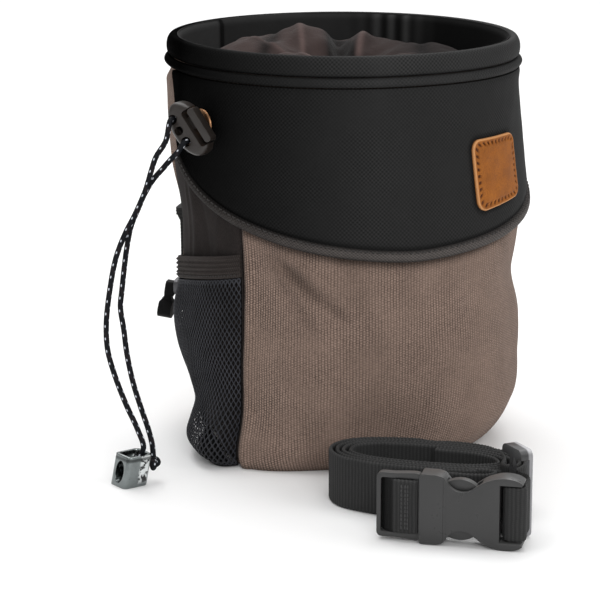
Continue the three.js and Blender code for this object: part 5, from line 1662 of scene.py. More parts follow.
class InnerBand:
    """The band inside the rim, with soft upright ripples and the step where its ends overlap."""

    RIPPLES = ((144.0, 1.6, 0.5), (138.6, 1.3, 0.55), (132.7, 1.2, 0.7), (150.0, 2.6, 0.3),
               (172.0, 6.0, 0.25), (-166.0, 7.0, 0.3), (-176.0, 3.0, 0.2), (-138.0, 5.0, 0.3))
    STREAKS = 3
    LAP = -153.0
    LOW, TOP = 139.0, 164.9

    def build(self) -> Piece:
        """A closed ring of cloth."""
        angle = np.linspace(-180.0, 180.0, 541)
        a, v = np.meshgrid(angle, np.linspace(0.0, 1.0, 26), indexing="ij")
        height = blend(self.LOW, self.TOP, v)
        ripple = waves_round(a, self.RIPPLES)
        past = turn_between(a, self.LAP)
        lap = 0.9 * (1.0 - soft_step(-0.35, 0.35, past)) * soft_step(-40.0, -25.0, past)
        inward = -3.6 - (ripple * np.sin(np.pi * v) ** 0.5 + lap) + 1.3 * soft_step(0.93, 1.0, v)
        back, face = Bag.point(a, height, -2.6), Bag.point(a, height, inward)
        back[-1], face[-1] = back[0], face[0]
        surfaces = shell(face, back, Bag.flat(a, height), closed=True)
        painted_shading = first_only(surfaces, self.painted_shading(a))
        return Build.piece("inner_band_cloth", surfaces, INNER_CLOTH, "inner_band",
                           attributes={"painted_shading": painted_shading})

    def painted_shading(self, angle: Array) -> Array:
        """Painted light and shade on the band, -1 to 1: pale past the overlap and on ripples, dark on the
        right.
        """
        past = turn_between(angle, self.LAP)
        pale = -0.75 * soft_step(0.5, 2.0, past) * (1.0 - soft_step(45.0, 80.0, past))
        slit = 1.2 * bump(past / 0.7)
        off = angle - self.RIPPLES[1][0]
        between = (0.5 - 0.5 * np.cos(2.0 * np.pi * off / 5.7)) * bump(off / 11.0)
        right = soft_step(0.0, 1.0, (130.0 - angle) / 12.0) * (angle > 0.0)
        streaks = waves_round(angle, tuple((m, 1.1 * w, -1.1) for m, w, _ in self.RIPPLES[:self.STREAKS]))
        return np.clip(pale + slit + 1.3 * between + streaks + right, -1.0, 1.0)


class Closure:
    """The brushed lining drawn together in the bag's mouth, in soft folds round a small opening."""

    SEAM = 152.0
    INSET = 3.9
    TOP = Bag.TALL - 0.8
    DROP = 13.0
    LIFT = 11.8
    THICK = 1.4
    RINGS = Sections((0.0, 1.0, 1.0, 0.0), (0.2, 0.84, 0.78, 0.5), (0.4, 0.62, 0.52, 1.0),
                     (0.6, 0.4, 0.68, 0.85), (0.8, 0.24, 1.1, 0.5), (1.0, 0.13, 1.9, 0.15))
    FOLDS = ((184.0, 24.0, 0.47), (158.0, 8.0, -0.2), (143.0, 15.0, 0.08), (118.0, 13.0, -0.08),
             (95.0, 16.0, 0.1), (52.0, 14.0, -0.2), (18.0, 17.0, 0.2), (-22.0, 14.0, -0.22),
             (-58.0, 17.0, 0.2), (-98.0, 15.0, -0.25), (-134.0, 17.0, 0.24))
    RIDGES = (
        ((-42.0, 15.0), (-17.0, -33.0), 4.5, 1.8), ((13.0, 36.0), (-6.0, -20.0), 4.5, -3.2),
        ((4.0, 58.0), (-15.0, 4.0), 3.2, 1.4), ((24.0, 34.0), (-13.0, -32.0), 4.0, 2.2),
        ((8.0, -24.0), (1.0, -40.0), 2.6, -1.8), ((19.0, -4.0), (9.0, -46.0), 6.5, 1.2),
        ((-10.0, 46.0), (-30.0, 12.0), 3.0, -1.0), ((40.0, 10.0), (20.0, -30.0), 3.0, -0.8),
        ((-30.0, 40.0), (-18.0, 4.0), 3.4, 0.9), ((46.0, -12.0), (28.0, -38.0), 3.5, 0.8),
    )

    def build(self) -> Piece:
        """A sheet from the rim to the middle opening: rings pulled in, lifted by folds and fine ridges."""
        a, t = np.meshgrid(np.linspace(-180.0, 180.0, 361), np.linspace(0.0, 1.0, 111), indexing="ij")
        reach, drop, fold = (self.RINGS.read(t, k) for k in (1, 2, 3))
        rise = waves_round(a, self.FOLDS)
        radius = (Bag.radius(a, self.SEAM) - self.INSET) * reach
        x, y = radius * np.sin(radians(a)), -radius * np.cos(radians(a))
        level = self.TOP - self.DROP * drop + self.LIFT * fold * rise
        free = soft_step(0.04, 0.3, t) * (1.0 - 0.7 * soft_step(0.75, 1.0, t))
        ridges = creases(x, y, self.RIDGES)
        pleats = 0.5 * np.sin(radians(a) * 17.0 + 2.0 * np.sin(radians(a) * 3.0)) * soft_step(0.5, 0.95, t)
        level = level + (ridges + 0.5 * soft_noise(x, y, 13.0, 41)) * free + pleats
        top = np.stack([x, y, level], axis=-1)
        low = top - self.THICK * UPWARD
        top[-1], low[-1] = top[0], low[0]
        surfaces = shell(top, low, np.stack([x, y], axis=-1), closed=True)
        # Painted light on the ridges and painted shade in the valleys and round each fold.
        sharp = tuple((*line, w * (0.45 if r > 0 else 1.1), -0.65 * r) for *line, w, r in self.RIDGES)
        wide = tuple((*line, w * 1.7, 0.12 * abs(r)) for *line, w, r in self.RIDGES)
        shade = 0.12 + creases(x, y, sharp) + creases(x, y, wide)
        painted_shading = first_only(surfaces, np.clip(shade, -0.8, 1.0))
        return Build.piece("closure_lining", surfaces, LINING, "closure_cuff", attributes={"painted_shading": painted_shading})


class MeshPocket:
    """The knitted mesh of the side pocket: rows of tall holes, each row half a cell off the next."""

    ROOM = Sections((0.0, 1.7, 0.4), (0.05, 2.6, 0.38), (0.12, 2.95, 0.36), (0.2, 2.5, 0.36),
                    (0.3, 1.4, 0.42), (0.42, 0.8, 0.7), (0.6, 0.9, 1.0), (0.8, 1.05, 1.0), (1.0, 0.72, 1.0))
    ACROSS = 34
    ROWS = 45
    THICK = 0.5
    HOLE = (0.25, 0.56)
    POWER = 1.7
    BAND = 3.5
    TOP = 76.4
    SLOPE = 0.22
    CELL = (1.9, 1.65)
    LEVELS = 80
    STEPS = 200

    @classmethod
    def low(cls, angle: Array | float) -> Array:
        """Height of the elastic's lower edge at an angle."""
        return cls.TOP - cls.SLOPE * (Side.FRONT - angle)

    @staticmethod
    def angle(u: Array | float, height: Array | float) -> Array:
        """Angle at a share across the pocket, from its back edge to its front one."""
        return blend(Side.back(height) + 1.6, Side.FRONT - 0.4, u)

    @staticmethod
    def swell(u: Array) -> Array:
        """How far the pocket stands off across its width, 1 - |2u - 1|^4."""
        return 1.0 - np.abs(2.0 * u - 1.0) ** 4

    def place(self, u: Array, v: Array, off: Array) -> Array:
        """Points of the mesh from shares across and up and a distance off its face."""
        first = self.angle(u, 40.0)
        height = blend(1.0, self.low(first) - 0.3, v)
        angle = self.angle(u, height)
        swell = self.swell(np.clip(u, 0.0, 1.0) ** (1.0 / self.ROOM.read(v, 2)))
        stand = 0.3 + 4.9 * self.ROOM.read(v, 1) * swell
        x = angle * Bag.ARC
        ripple = 0.5 * soft_noise(x, height, 21.0, 51) * swell
        hem = 0.5 * bump((u - 0.03) / 0.025) * np.sin(height * 1.1) * soft_step(50.0, 60.0, height)
        return Bag.point(angle, height, stand + ripple + hem + off)

    def even(self, s: Array, v: Array) -> Array:
        """Share across whose running length along its own row is a share s of the row's whole length.

        Args:
            s: Shares of the row's length.
            v: Shares up the sheet.

        Returns:
            Shares across, read between the places of the table.
        """
        table = self.table
        row, column = np.clip(v, 0.0, 1.0) * self.LEVELS, np.clip(s, 0.0, 1.0) * self.STEPS
        i = np.minimum(row.astype(int), self.LEVELS - 1)
        j = np.minimum(column.astype(int), self.STEPS - 1)
        low = blend(table[i, j], table[i, j + 1], column - j)
        return blend(low, blend(table[i + 1, j], table[i + 1, j + 1], column - j), row - i)

    @cached_property
    def table(self) -> Array:
        """Shares across at even steps of the running length, one row for each level up the sheet."""
        u, levels = np.linspace(0.0, 1.0, 2 * self.STEPS + 1), np.linspace(0.0, 1.0, self.LEVELS + 1)
        steps = np.linspace(0.0, 1.0, self.STEPS + 1)
        lengths = [running_length(row) for row in self.place(*np.meshgrid(u, levels), 0.0)]
        return np.stack([np.interp(steps, length / length[-1], u) for length in lengths])

    def cells(self) -> tuple[Array, Array]:
        """Border points and hole points of every cell, in cells across and rows up.

        Each cell is a diamond one cell wide and two rows tall, and each row lies half a cell off the next, so
        the diamonds fill the sheet. Cells on the sheet's edges are cut off there and have small holes.
        """
        t = np.linspace(0.0, 1.0, 4)[:-1]
        x = np.concatenate([0.5 * (1 - t), -0.5 * t, 0.5 * (t - 1), 0.5 * t, [0.5]])
        y = np.concatenate([t, 1 - t, -t, t - 1, [0.0]])
        firsts = [np.arange(self.ACROSS + row % 2) + 0.5 * (1 - row % 2) for row in range(-1, self.ROWS + 1)]
        rows = [np.full(len(first), row - 0.5) for row, first in enumerate(firsts)]
        centre = np.stack([np.concatenate(firsts), np.concatenate(rows)], axis=1)
        border = centre[:, None] + np.stack([x, y], axis=1)[None]
        outside = (border[..., 1] < 0.0) | (border[..., 1] > self.ROWS)
        near = np.clip(border[..., 0] - centre[:, :1], -0.25, 0.25) + centre[:, :1]
        border[..., 0] = np.clip(np.where(outside, near, border[..., 0]), 0.0, self.ACROSS)
        border[..., 1] = np.clip(border[..., 1], 0.0, self.ROWS)
        limits = np.array([self.ACROSS, self.ROWS], float)
        cut = ((centre < np.array([0.4, 0.9])) | (centre > limits - np.array([0.4, 0.9]))).any(axis=1)
        middle = np.where(cut[:, None], border[:, :-1].mean(axis=1), centre)
        turn = np.arctan2(y, x * 2.0)
        round_part = np.stack([np.cos(turn), np.sin(turn)], axis=1)
        reach = np.sum(np.abs(round_part) ** self.POWER, axis=1) ** (-1.0 / self.POWER)
        flat = round_part * reach[:, None] * np.array(self.HOLE)
        share = centre / limits
        low = 1.0 - soft_step(0.26, 0.4, share[:, 1])
        size = np.where(cut, 0.3, 1.0) * (1.0 + 0.65 * low * (1.0 - soft_step(0.42, 0.55, share[:, 0])))
        return border, middle[:, None] + flat[None] * size[:, None, None]

    def build(self) -> Piece:
        """Each cell a ring between its border and its hole, with the sheet's edges and a floor closing it."""
        border, hole = self.cells()
        halfway, beside = blend(border, hole, 0.45), blend(border, hole, 0.85)
        # The last number of each layer is how strongly the knit's finish paints its highlight there.
        layers = [(border, 0.0, 1.0), (halfway, -0.05, 0.6), (beside, -0.2, 0.1), (hole, -0.4, 0.0),
                  (beside, -self.THICK + 0.2, 0.0), (border, -self.THICK, 0.2)]
        points, tops = [], []
        for flat, off, top in layers:
            v = flat[..., 1] / self.ROWS
            points.append(self.place(self.even(flat[..., 0] / self.ACROSS, v), v, off))
            tops.append(np.full(flat.shape[:2], top))
        pattern = np.stack([flat for flat, _, _ in layers], axis=1) * np.array(self.CELL)
        lattice = copies(np.stack(points, axis=1), pattern)
        surfaces, attributes = [lattice], [np.stack(tops, axis=1)]
        steps_u = np.linspace(0.0, 1.0, 6 * self.ACROSS + 1)
        steps_v = np.linspace(0.0, 1.0, 3 * self.ROWS + 1)
        for s, v in ((steps_u, np.zeros_like(steps_u)), (steps_u[::-1], np.ones_like(steps_u)),
                     (np.zeros_like(steps_v), steps_v[::-1]), (np.ones_like(steps_v), steps_v)):
            u = self.even(s, v)
            strip = np.stack([self.place(u, v, 0.0), self.place(u, v, -self.THICK)])
            surfaces.append(grid(strip))
            attributes.append(np.zeros(strip.shape[:2]))
        foot = self.place(steps_u, np.zeros_like(steps_u), -0.1)
        wall = Bag.point(self.angle(steps_u, 1.2), 1.2, 0.3)
        floor = blend(foot[:, None], wall[:, None], np.linspace(0.0, 1.0, 3)[None, :, None])
        closing = shell(floor, floor - self.THICK * UPWARD)
        surfaces.extend(closing)
        attributes.extend(np.zeros(surface.count) for surface in closing)
        return Build.piece("pocket_knit_mesh", surfaces, KNIT, "mesh_pocket", attributes={"top": attributes},
                           sharp=70.0)

    def elastic(self) -> None:
        """The ribbed elastic along the pocket's top, with its hem and stitches."""
        u, v = shares(141, 61)
        angle = self.angle(u, self.TOP)
        height = self.low(angle) + 9.0 * v
        stand = 0.3 + self.BAND * self.swell(u)
        ends = soft_step(0.1, 0.2, v) * soft_step(0.0, 0.1, 1.0 - v)
        ribs = 0.36 * np.cos(2.0 * np.pi * (v - 0.06) * 5.0) * ends
        edge = -0.5 * bump(v / 0.05) - 0.5 * bump((1.0 - v) / 0.05)
        gather = 0.08 * np.sin(angle * 7.0) * np.sin(2.0 * np.pi * v)
        Build.piece("elastic_band", Bag.sheet(angle, height, stand + ribs + edge + gather + 0.35, 1.4),
                    ELASTIC_TAPE, "pocket_elastic")
        steps = self.angle(np.linspace(0.02, 0.98, 42), self.TOP)
        place = np.stack([steps, self.low(steps) + 1.25], axis=1)
        low, high = self.angle(0.0, self.TOP), self.angle(1.0, self.TOP)
        Stitches.row("elastic_stitches", np.stack([place[:-1], place[1:]], axis=1),
                     lambda a, h: 0.8 + self.BAND * self.swell((a - low) / (high - low)), THREAD, 0.5, 0.24)


class LeatherPatch:
    """The bare leather patch: a rounded square with a pressed line of stitches inside its edge."""

    HALF = (13.5, 12.8)
    CORNER = 4.0
    ANGLE = 32.0
    TURN = math.radians(7.0)
    COSINE, SINE = math.cos(TURN), math.sin(TURN)
    LEVEL = 116.2
    THICK = 1.2
    INSET = 1.9
    STITCH = 2.7
    EDGE = 0.6
    SEAT = 0.35
    FLARE = 3.2

    def inset(self, x: Array, y: Array) -> Array:
        """Distance inside the patch's outline."""
        qx = np.abs(x) - (self.HALF[0] - self.CORNER)
        qy = np.abs(y) - (self.HALF[1] - self.CORNER)
        outside = np.hypot(np.maximum(qx, 0.0), np.maximum(qy, 0.0))
        return self.CORNER - outside - np.minimum(np.maximum(qx, qy), 0.0)

    def place(self, x: Array, y: Array, out: Array) -> Array:
        """Points of the patch on the collar, from its own coordinates."""
        c, s = self.COSINE, self.SINE
        y = y + self.FLARE * (y / (2.0 * self.HALF[1]) + 0.5) * (0.5 - x / (2.0 * self.HALF[0]))
        angle = self.ANGLE + (x * c - y * s) / Bag.ARC
        height = self.LEVEL + x * s + y * c
        return Bag.point(angle, height, Collar.out(angle, height) + self.SEAT + out)

    def local(self, angle: Array, height: Array) -> tuple[Array, Array]:
        """The patch's own coordinates of places on the collar."""
        across, up = (angle - self.ANGLE) * Bag.ARC, height - self.LEVEL
        c, s = self.COSINE, self.SINE
        x, y = across * c + up * s, up * c - across * s
        share = 0.5 - x / (2.0 * self.HALF[0])
        return x, (y - 0.5 * self.FLARE * share) / (1.0 + self.FLARE * share / (2.0 * self.HALF[1]))

    def outline(self, count: int) -> tuple[Array, Array]:
        """The rounded square's outline by evenly spaced points, its last on its first."""
        w, h = (k - self.CORNER for k in self.HALF)
        turn = np.linspace(0.0, np.pi / 2.0, 12)
        arcs = [np.stack([cx + self.CORNER * np.cos(turn + k * np.pi / 2.0),
                          cy + self.CORNER * np.sin(turn + k * np.pi / 2.0)], axis=1)
                for k, (cx, cy) in enumerate(((w, h), (-w, h), (-w, -h), (w, -h)))]
        loop = np.vstack([*arcs, arcs[0][:1]])
        length = running_length(loop)
        want = np.linspace(0.0, length[-1], count + 1)
        return tuple(np.interp(want, length, loop[:, k]) for k in range(2))

    def build(self) -> None:
        """The leather and its thread."""
        x0, y0 = self.outline(432)
        share = np.concatenate([np.linspace(0.0, 0.72, 20), np.linspace(0.745, 1.0, 30)])
        x, y = x0[:, None] * share[None], y0[:, None] * share[None]
        inside = self.inset(x, y)
        short = 1.0 - np.clip(inside / self.EDGE, 0.0, 1.0)
        round_edge = self.EDGE * (1.0 - np.sqrt(1.0 - short**2))
        length = running_length(np.stack([x0, y0], axis=1))[-1]
        around = np.broadcast_to(np.linspace(0.0, length, len(x0))[:, None], x.shape)
        beat = np.abs((around / self.STITCH) % 1.0 - 0.5) * 2.0
        line = bump((inside - self.INSET) / 0.6)
        pit = np.clip(1.5 * line, 0.0, 1.0) * soft_step(0.5, 0.66, beat)
        out = self.THICK - round_edge - 0.15 * line - 0.5 * pit + 0.06 * soft_noise(x, y, 9.0, 61)
        out = out + 0.25 * bump((inside - 7.0) / 5.0)
        top, low = self.place(x, y, out), self.place(x, y, np.zeros_like(x))
        for part in (top, low):
            part[-1] = part[0]
            part[:, 0] = part[0, 0]
        rim = np.broadcast_to(1.0 - soft_step(0.25, 0.8, inside), x.shape)
        sides = grid(np.stack([low[:, -1], top[:, -1]], axis=1))
        flat = np.stack([x, y], axis=-1)
        surfaces = [grid(top, flat), grid(low[:, ::-1], flat[:, ::-1]), sides]
        zero = np.zeros_like(x)
        attributes = {"pit": [pit, zero, np.zeros((len(x0), 2))], "rim": [rim, zero, np.ones((len(x0), 2))]}
        Build.piece("patch_hide", surfaces, PATCH_LEATHER, "leather_patch", attributes=attributes, sharp=50.0)


# Back of the bag


class BeltLoops:
    """Two webbing loops on the bag's back, flat at both ends and open in the middle."""

    ANGLES = {"belt_loop_left": -130.0, "belt_loop_right": 130.0}
    HALF = 7.67
    LOW, HIGH = 64.5, 91.0
    SEWN = 4.0 / 28.0
    STITCH_LEVELS = (66.0, 67.4, 88.1, 89.5)

    def build(self) -> None:
        """Each loop with its ribs and its bartacks."""
        for node, middle in self.ANGLES.items():
            u, v = np.meshgrid(np.linspace(-1.0, 1.0, 41), np.linspace(0.0, 1.0, 91), indexing="ij")
            free = np.clip((np.minimum(v, 1.0 - v) - 0.6 * self.SEWN) / (0.8 * self.SEWN), 0.0, 1.0)
            angle, height = middle + self.HALF * u, blend(self.LOW, self.HIGH, v)
            thick = 1.1 + 1.9 * (1.0 - free)
            stand = 0.3 + 0.5 * free
            ribs = 0.08 * np.cos(2.0 * np.pi * height / Webbing.RIB) * (np.abs(u) < 0.93)
            edge = -0.35 * np.clip((np.abs(u) - 0.9) / 0.1, 0.0, 1.0) ** 2
            outer = Bag.point(angle, height, stand + thick + ribs + edge)
            pattern = np.stack([height, u * 9.5], axis=-1)
            inner = Bag.point(angle, height, stand)
            Build.piece(node + "_tape", shell(outer, inner, pattern), WEBBING_TAPE, node)
            rows = [np.stack([np.linspace(middle - 6.4, middle + 6.4, 23), np.full(23, level)], axis=1)
                    for level in self.STITCH_LEVELS]
            ends = np.concatenate([np.stack([r[:-1], r[1:]], axis=1) for r in rows])
            Stitches.row(node + "_stitches", ends, lambda a, h: np.full_like(a, 3.35), THREAD, 0.8, 0.26)


class RearZip:
    """A zip across the bag's back with its tapes, coil teeth, slider and moulded pull."""

    FROM, TO = 118.0, 242.0
    LEVEL = 58.0
    HALF = 7.0
    TOOTH = 0.62
    SLIDER_ANGLE = -123.0
    PULL = ((0.0, 3.6), (2.2, 3.4), (3.1, 1.8), (3.2, -0.8), (2.6, -2.6), (2.2, -4.0), (3.0, -5.2),
            (4.0, -6.8), (4.5, -8.8), (4.1, -10.3), (2.9, -11.4), (1.4, -12.0), (0.0, -12.1))

    def build(self) -> None:
        """Tape, teeth, slider and pull."""
        u, v = shares(181, 45)
        angle = blend(self.FROM, self.TO, u)
        height = self.LEVEL + blend(-self.HALF, self.HALF, v)
        off = np.abs(height - self.LEVEL)
        out = 1.5 - 0.25 * bump((off - 2.6) / 0.5) - 0.8 * bump((self.HALF - off) / 0.5)
        out = out - 0.5 * (off < 1.6) + 0.08 * np.cos(2.0 * np.pi * off / 0.9) * (off > 3.0)
        pattern = np.stack([height, angle * Bag.ARC], axis=-1)
        outer, inner = Bag.point(angle, height, out), Bag.point(angle, height, 0.35)
        Build.piece("zip_tape", shell(outer, inner, pattern), SIDE_CLOTH, "rear_zip")
        teeth = np.arange(self.FROM + 3.0, self.TO - 3.0, self.TOOTH)
        teeth = teeth[np.abs(turn_between(teeth, self.SLIDER_ANGLE)) > 4.5]
        sides = []
        for sign, start_angle in ((-1.0, teeth), (1.0, teeth + self.TOOTH / 2.0)):
            start = Bag.point(start_angle, self.LEVEL + sign * 1.5, 1.35)
            end = Bag.point(start_angle, self.LEVEL - sign * 0.5, 1.35)
            away = unit(start * (1.0 - UPWARD))
            sides.append(Stitches.bars(start, end, away, 0.34))
        Build.piece("zip_teeth", sides, PULL_PLASTIC, sharp=60.0)
        self.slider()

    def matrix(self) -> Matrix:
        """The slider's own axes: across the zip's run, up and out."""
        turn = math.radians(self.SLIDER_ANGLE)
        out, up = Vector((math.sin(turn), -math.cos(turn), 0.0)), Vector(UPWARD)
        seat = Vector(Bag.point(self.SLIDER_ANGLE, self.LEVEL, 2.0))
        return shift(seat) @ Matrix((up.cross(out), up, out)).transposed().to_4x4()

    def slider(self) -> None:
        """The metal slider with its bridge, and the pull that hangs from it."""
        body = carving_block((9.0, 6.0, 2.2), (0.0, 0.0, 1.1), 2.2)
        bridge = carving_block((5.4, 1.8, 1.7), (0.0, 0.0, 2.6), 0.6)
        mesh = Build.carved(body, [], [bridge], edge=0.4, segments=3)
        Build.place("zip_slider_metal", mesh, ZIP_METAL, "zip_slider", at=self.matrix())
        half = np.array(self.PULL)
        outline = smooth_route(np.vstack([half, (half * np.array([-1.0, 1.0]))[::-1][1:]]), 0.35)
        pull = prism(outline, -3.6, 2.0)
        slim = carving_block((12.0, 8.6, 3.2), (0.0, 0.6, 1.9), 0.8)
        waist = [carving_oval(1.7, 1.3, 12.0, (0.0, -3.6, depth), "x") for depth in (-4.0, 2.4)]
        eye = carving_oval(1.1, 1.3, 12.0, (0.0, 1.2, 0.0), "z")
        dents = [carving_block((4.2, 0.7, 1.0), (0.0, -7.0 - 1.4 * k, 2.1), 0.3) for k in range(3)]
        mesh = Build.carved(pull, [eye, slim, *waist, *dents], edge=1.3, segments=4)
        at = self.matrix() @ shift((0.0, -1.5, 5.9)) @ spin(-8.0, "X")
        Build.place("zip_pull_lobes", mesh, PULL_PLASTIC, "zip_puller", at=at)


# The belt


class BeltRoute:
    """Where the webbing runs: round the buckle's bars, through the slider and twice round the coil."""

    COIL_MIDDLE = (-11.6, -107.0)
    COIL_TURN = math.radians(-41.0)
    HALF_LONG, HALF_WIDE = 39.8, 20.0
    PITCH = 2.3
    END = 792.0
    BUCKLE = (-31.0, -143.0)
    BUCKLE_TURN = math.radians(-36.0)
    BUCKLE_MIDDLE = 13.4
    LOW = 3.4
    WRAP = 2.45
    FLOOR = 0.3
    POWER = 2.4
    LEAD_IN = (
        (5.25, -156.2, 3.9), (5.2, -153.0, 3.9), (4.9, -148.0, 3.9), (4.6, -142.0, 3.9), (4.6, -139.2, 3.7),
        (6.2, -133.8, 2.8), (11.4, -125.4, 1.4), (14.8, -116.2, 0.5), (14.2, -107.0, 0.3), (6.6, -97.4, 0.3),
        (-5.2, -89.6, 0.3),
    )
    LEAD_OUT = (
        (-7.0, -127.6, 0.4), (-1.6, -133.2, 0.8), (1.0, -137.4, 1.3), (-0.8, -141.6, 1.9),
        (-5.6, -143.6, 2.4), (-12.0, -142.2, 2.9), (-20.0, -137.8, 3.3), (-25.2, -136.6, 3.6),
    )
    MALE_WRAP = (
        (-4.8, 2.65), (-10.2, 2.9), (-13.2, 2.75), (-13.9, 1.8), (-13.4, 0.5), (-11.9, -0.6), (-9.9, -1.6),
        (-8.8, -2.3), (-7.2, -2.5), (-0.8, -2.45),
    )

    @classmethod
    def coil(cls, turn: Array | float, layer: Array | float) -> Array:
        """Points on the coil at a turn in degrees and a number of layers in from the outside."""
        turn, layer = np.broadcast_arrays(np.asarray(turn, float), np.asarray(layer, float))
        a, b = cls.HALF_LONG - layer * cls.PITCH, cls.HALF_WIDE - layer * cls.PITCH
        c, s = np.cos(radians(turn)), np.sin(radians(turn))
        r = (np.abs(c / a) ** cls.POWER + np.abs(s / b) ** cls.POWER) ** (-1.0 / cls.POWER)
        cos, sin = math.cos(cls.COIL_TURN), math.sin(cls.COIL_TURN)
        x, y = r * c, r * s
        east, north = x * cos - y * sin + cls.COIL_MIDDLE[0], x * sin + y * cos + cls.COIL_MIDDLE[1]
        return np.stack([east, north, np.full_like(x, cls.FLOOR)], axis=-1)

    @classmethod
    def buckle(cls, along: float, back: float) -> Array:
        """One point of the webbing in the buckle, along it and back from its middle."""
        cos, sin = math.cos(cls.BUCKLE_TURN), math.sin(cls.BUCKLE_TURN)
        x, y = along * cos - back * sin, along * sin + back * cos
        return np.array([x + cls.BUCKLE[0], y + cls.BUCKLE[1], cls.LOW])

    @classmethod
    def wrap(cls, along: float, start: float, end: float) -> list[Array]:
        """A quarter turn of webbing round a bar's edge."""
        turns = radians(np.linspace(start, end, 4))
        return [cls.buckle(along + cls.WRAP * math.cos(t), cls.WRAP * math.sin(t)) for t in turns]

    @classmethod
    def path(cls) -> Array:
        """The whole belt's middle line in plan with its low edge's level, close to the frame's own strip."""
        tail = [cls.buckle(32.0, 8.4), cls.buckle(30.8, 4.8)]
        female = [*cls.wrap(32.8, 180.0, 270.0), *cls.wrap(35.2, 270.0, 360.0)]
        turns_in = np.arange(110.0, cls.END + 0.1, 18.0)
        turns_out = np.arange(cls.END, -20.1, -18.0)
        inward = np.vstack([[cls.buckle(36.9, 3.4), cls.buckle(35.7, 7.0)], np.array(cls.LEAD_IN),
                            cls.coil(turns_in, turns_in / 180.0)])
        outward = np.vstack([cls.coil(turns_out, turns_out / 180.0 + 1.0), np.array(cls.LEAD_OUT)])
        share = np.array([0.1, 0.3, 0.5, 0.7, 0.9])
        end = cls.END + 6.0
        fold = cls.coil(end + 3.5 * np.sin(np.pi * share), end / 180.0 + share)
        male = [cls.buckle(along, back) for along, back in cls.MALE_WRAP]
        coarse = [smooth_route(part, 7.5) for part in (inward, outward)]
        return np.vstack([tail, female, coarse[0], fold, coarse[1], male])


class Webbing:
    """The belt's webbing: cross ribs, woven edges and stitched ends."""

    WIDTH = 20.0
    THICK = 1.5
    RIB = 1.4
    STEP = 0.28
    EDGE = ((0.0, 0.35, 0.0), (0.35, 0.8, 0.3), (0.9, 1.0, 0.8), (1.5, 1.0, 1.0))

    def build(self) -> None:
        """Sweeps the webbing's section along its path and adds the stitches of its ends."""
        line = smooth_route(BeltRoute.path(), self.STEP)
        length = running_length(line)
        level = line[:, 2]
        flat = line * (1.0 - UPWARD)
        along = unit(np.gradient(flat, axis=0))
        side = np.stack([-along[:, 1], along[:, 0], np.zeros(len(line))], axis=1)
        low = np.array(self.EDGE)
        middle = np.linspace(3.0, self.WIDTH - 3.0, 8)
        up = np.concatenate([low[:, 0], middle, self.WIDTH - low[::-1, 0]])
        depth, inner = (np.concatenate([low[:, k], np.ones(8), low[::-1, k]]) for k in (1, 2))
        rise = np.concatenate([up, up[::-1], up[:1]])
        reach = self.THICK / 2.0 * np.concatenate([depth, -depth[::-1], depth[:1]])
        ribs = np.concatenate([inner, -inner[::-1], inner[:1]])
        wave = np.cos(2.0 * np.pi * length / self.RIB)[:, None]
        scallop = 0.1 * wave * (1.0 * (rise < 0.2) - (rise > self.WIDTH - 0.2))
        offset = reach[None, :] * 0.94 + 0.07 * wave * ribs[None, :]
        points = flat[:, None] + side[:, None] * offset[..., None]
        points[..., 2] = level[:, None] + rise[None, :] + scallop
        pattern = np.stack(np.broadcast_arrays(length[:, None], rise[None, :]), axis=-1)
        # Painted shade where the end lies behind the buckle's middle, and a painted highlight along the top
        # edge.
        back = (line[:, 1] - BeltRoute.BUCKLE[1]) * math.cos(BeltRoute.BUCKLE_TURN)
        back = back - (line[:, 0] - BeltRoute.BUCKLE[0]) * math.sin(BeltRoute.BUCKLE_TURN)
        tucked = soft_step(-2.1, -1.5, back) * (length > length[-1] - 20.0)
        painted_shading = tucked[:, None] - 0.5 * soft_step(19.3, 19.8, rise)[None, :]
        tube = capped_tube(points, pattern)
        shade = first_only(tube, painted_shading)
        Build.piece("belt_tape", tube, WEBBING_TAPE, "belt_webbing", sharp=60.0, attributes={"painted_shading": shade})
        self.end_stitches()

    def end_stitches(self) -> None:
        """Three lines of stitches across the wrap on the male part."""
        levels = np.linspace(1.6, self.WIDTH - 1.6, 12)[:, None] * UPWARD
        feet = [BeltRoute.buckle(along, -3.3) for along in (-6.6, -5.2, -4.3)]
        away = unit(BeltRoute.buckle(0.0, -1.0) - BeltRoute.buckle(0.0, 0.0))
        starts = np.vstack([foot + levels[:-1] + 0.02 * UPWARD for foot in feet])
        ends = np.vstack([foot + levels[1:] - 0.02 * UPWARD for foot in feet])
        bars = Stitches.bars(starts, ends, np.broadcast_to(away, starts.shape), 0.3)
        Build.piece("belt_end_stitches", [bars], BELT_THREAD, sharp=60.0)


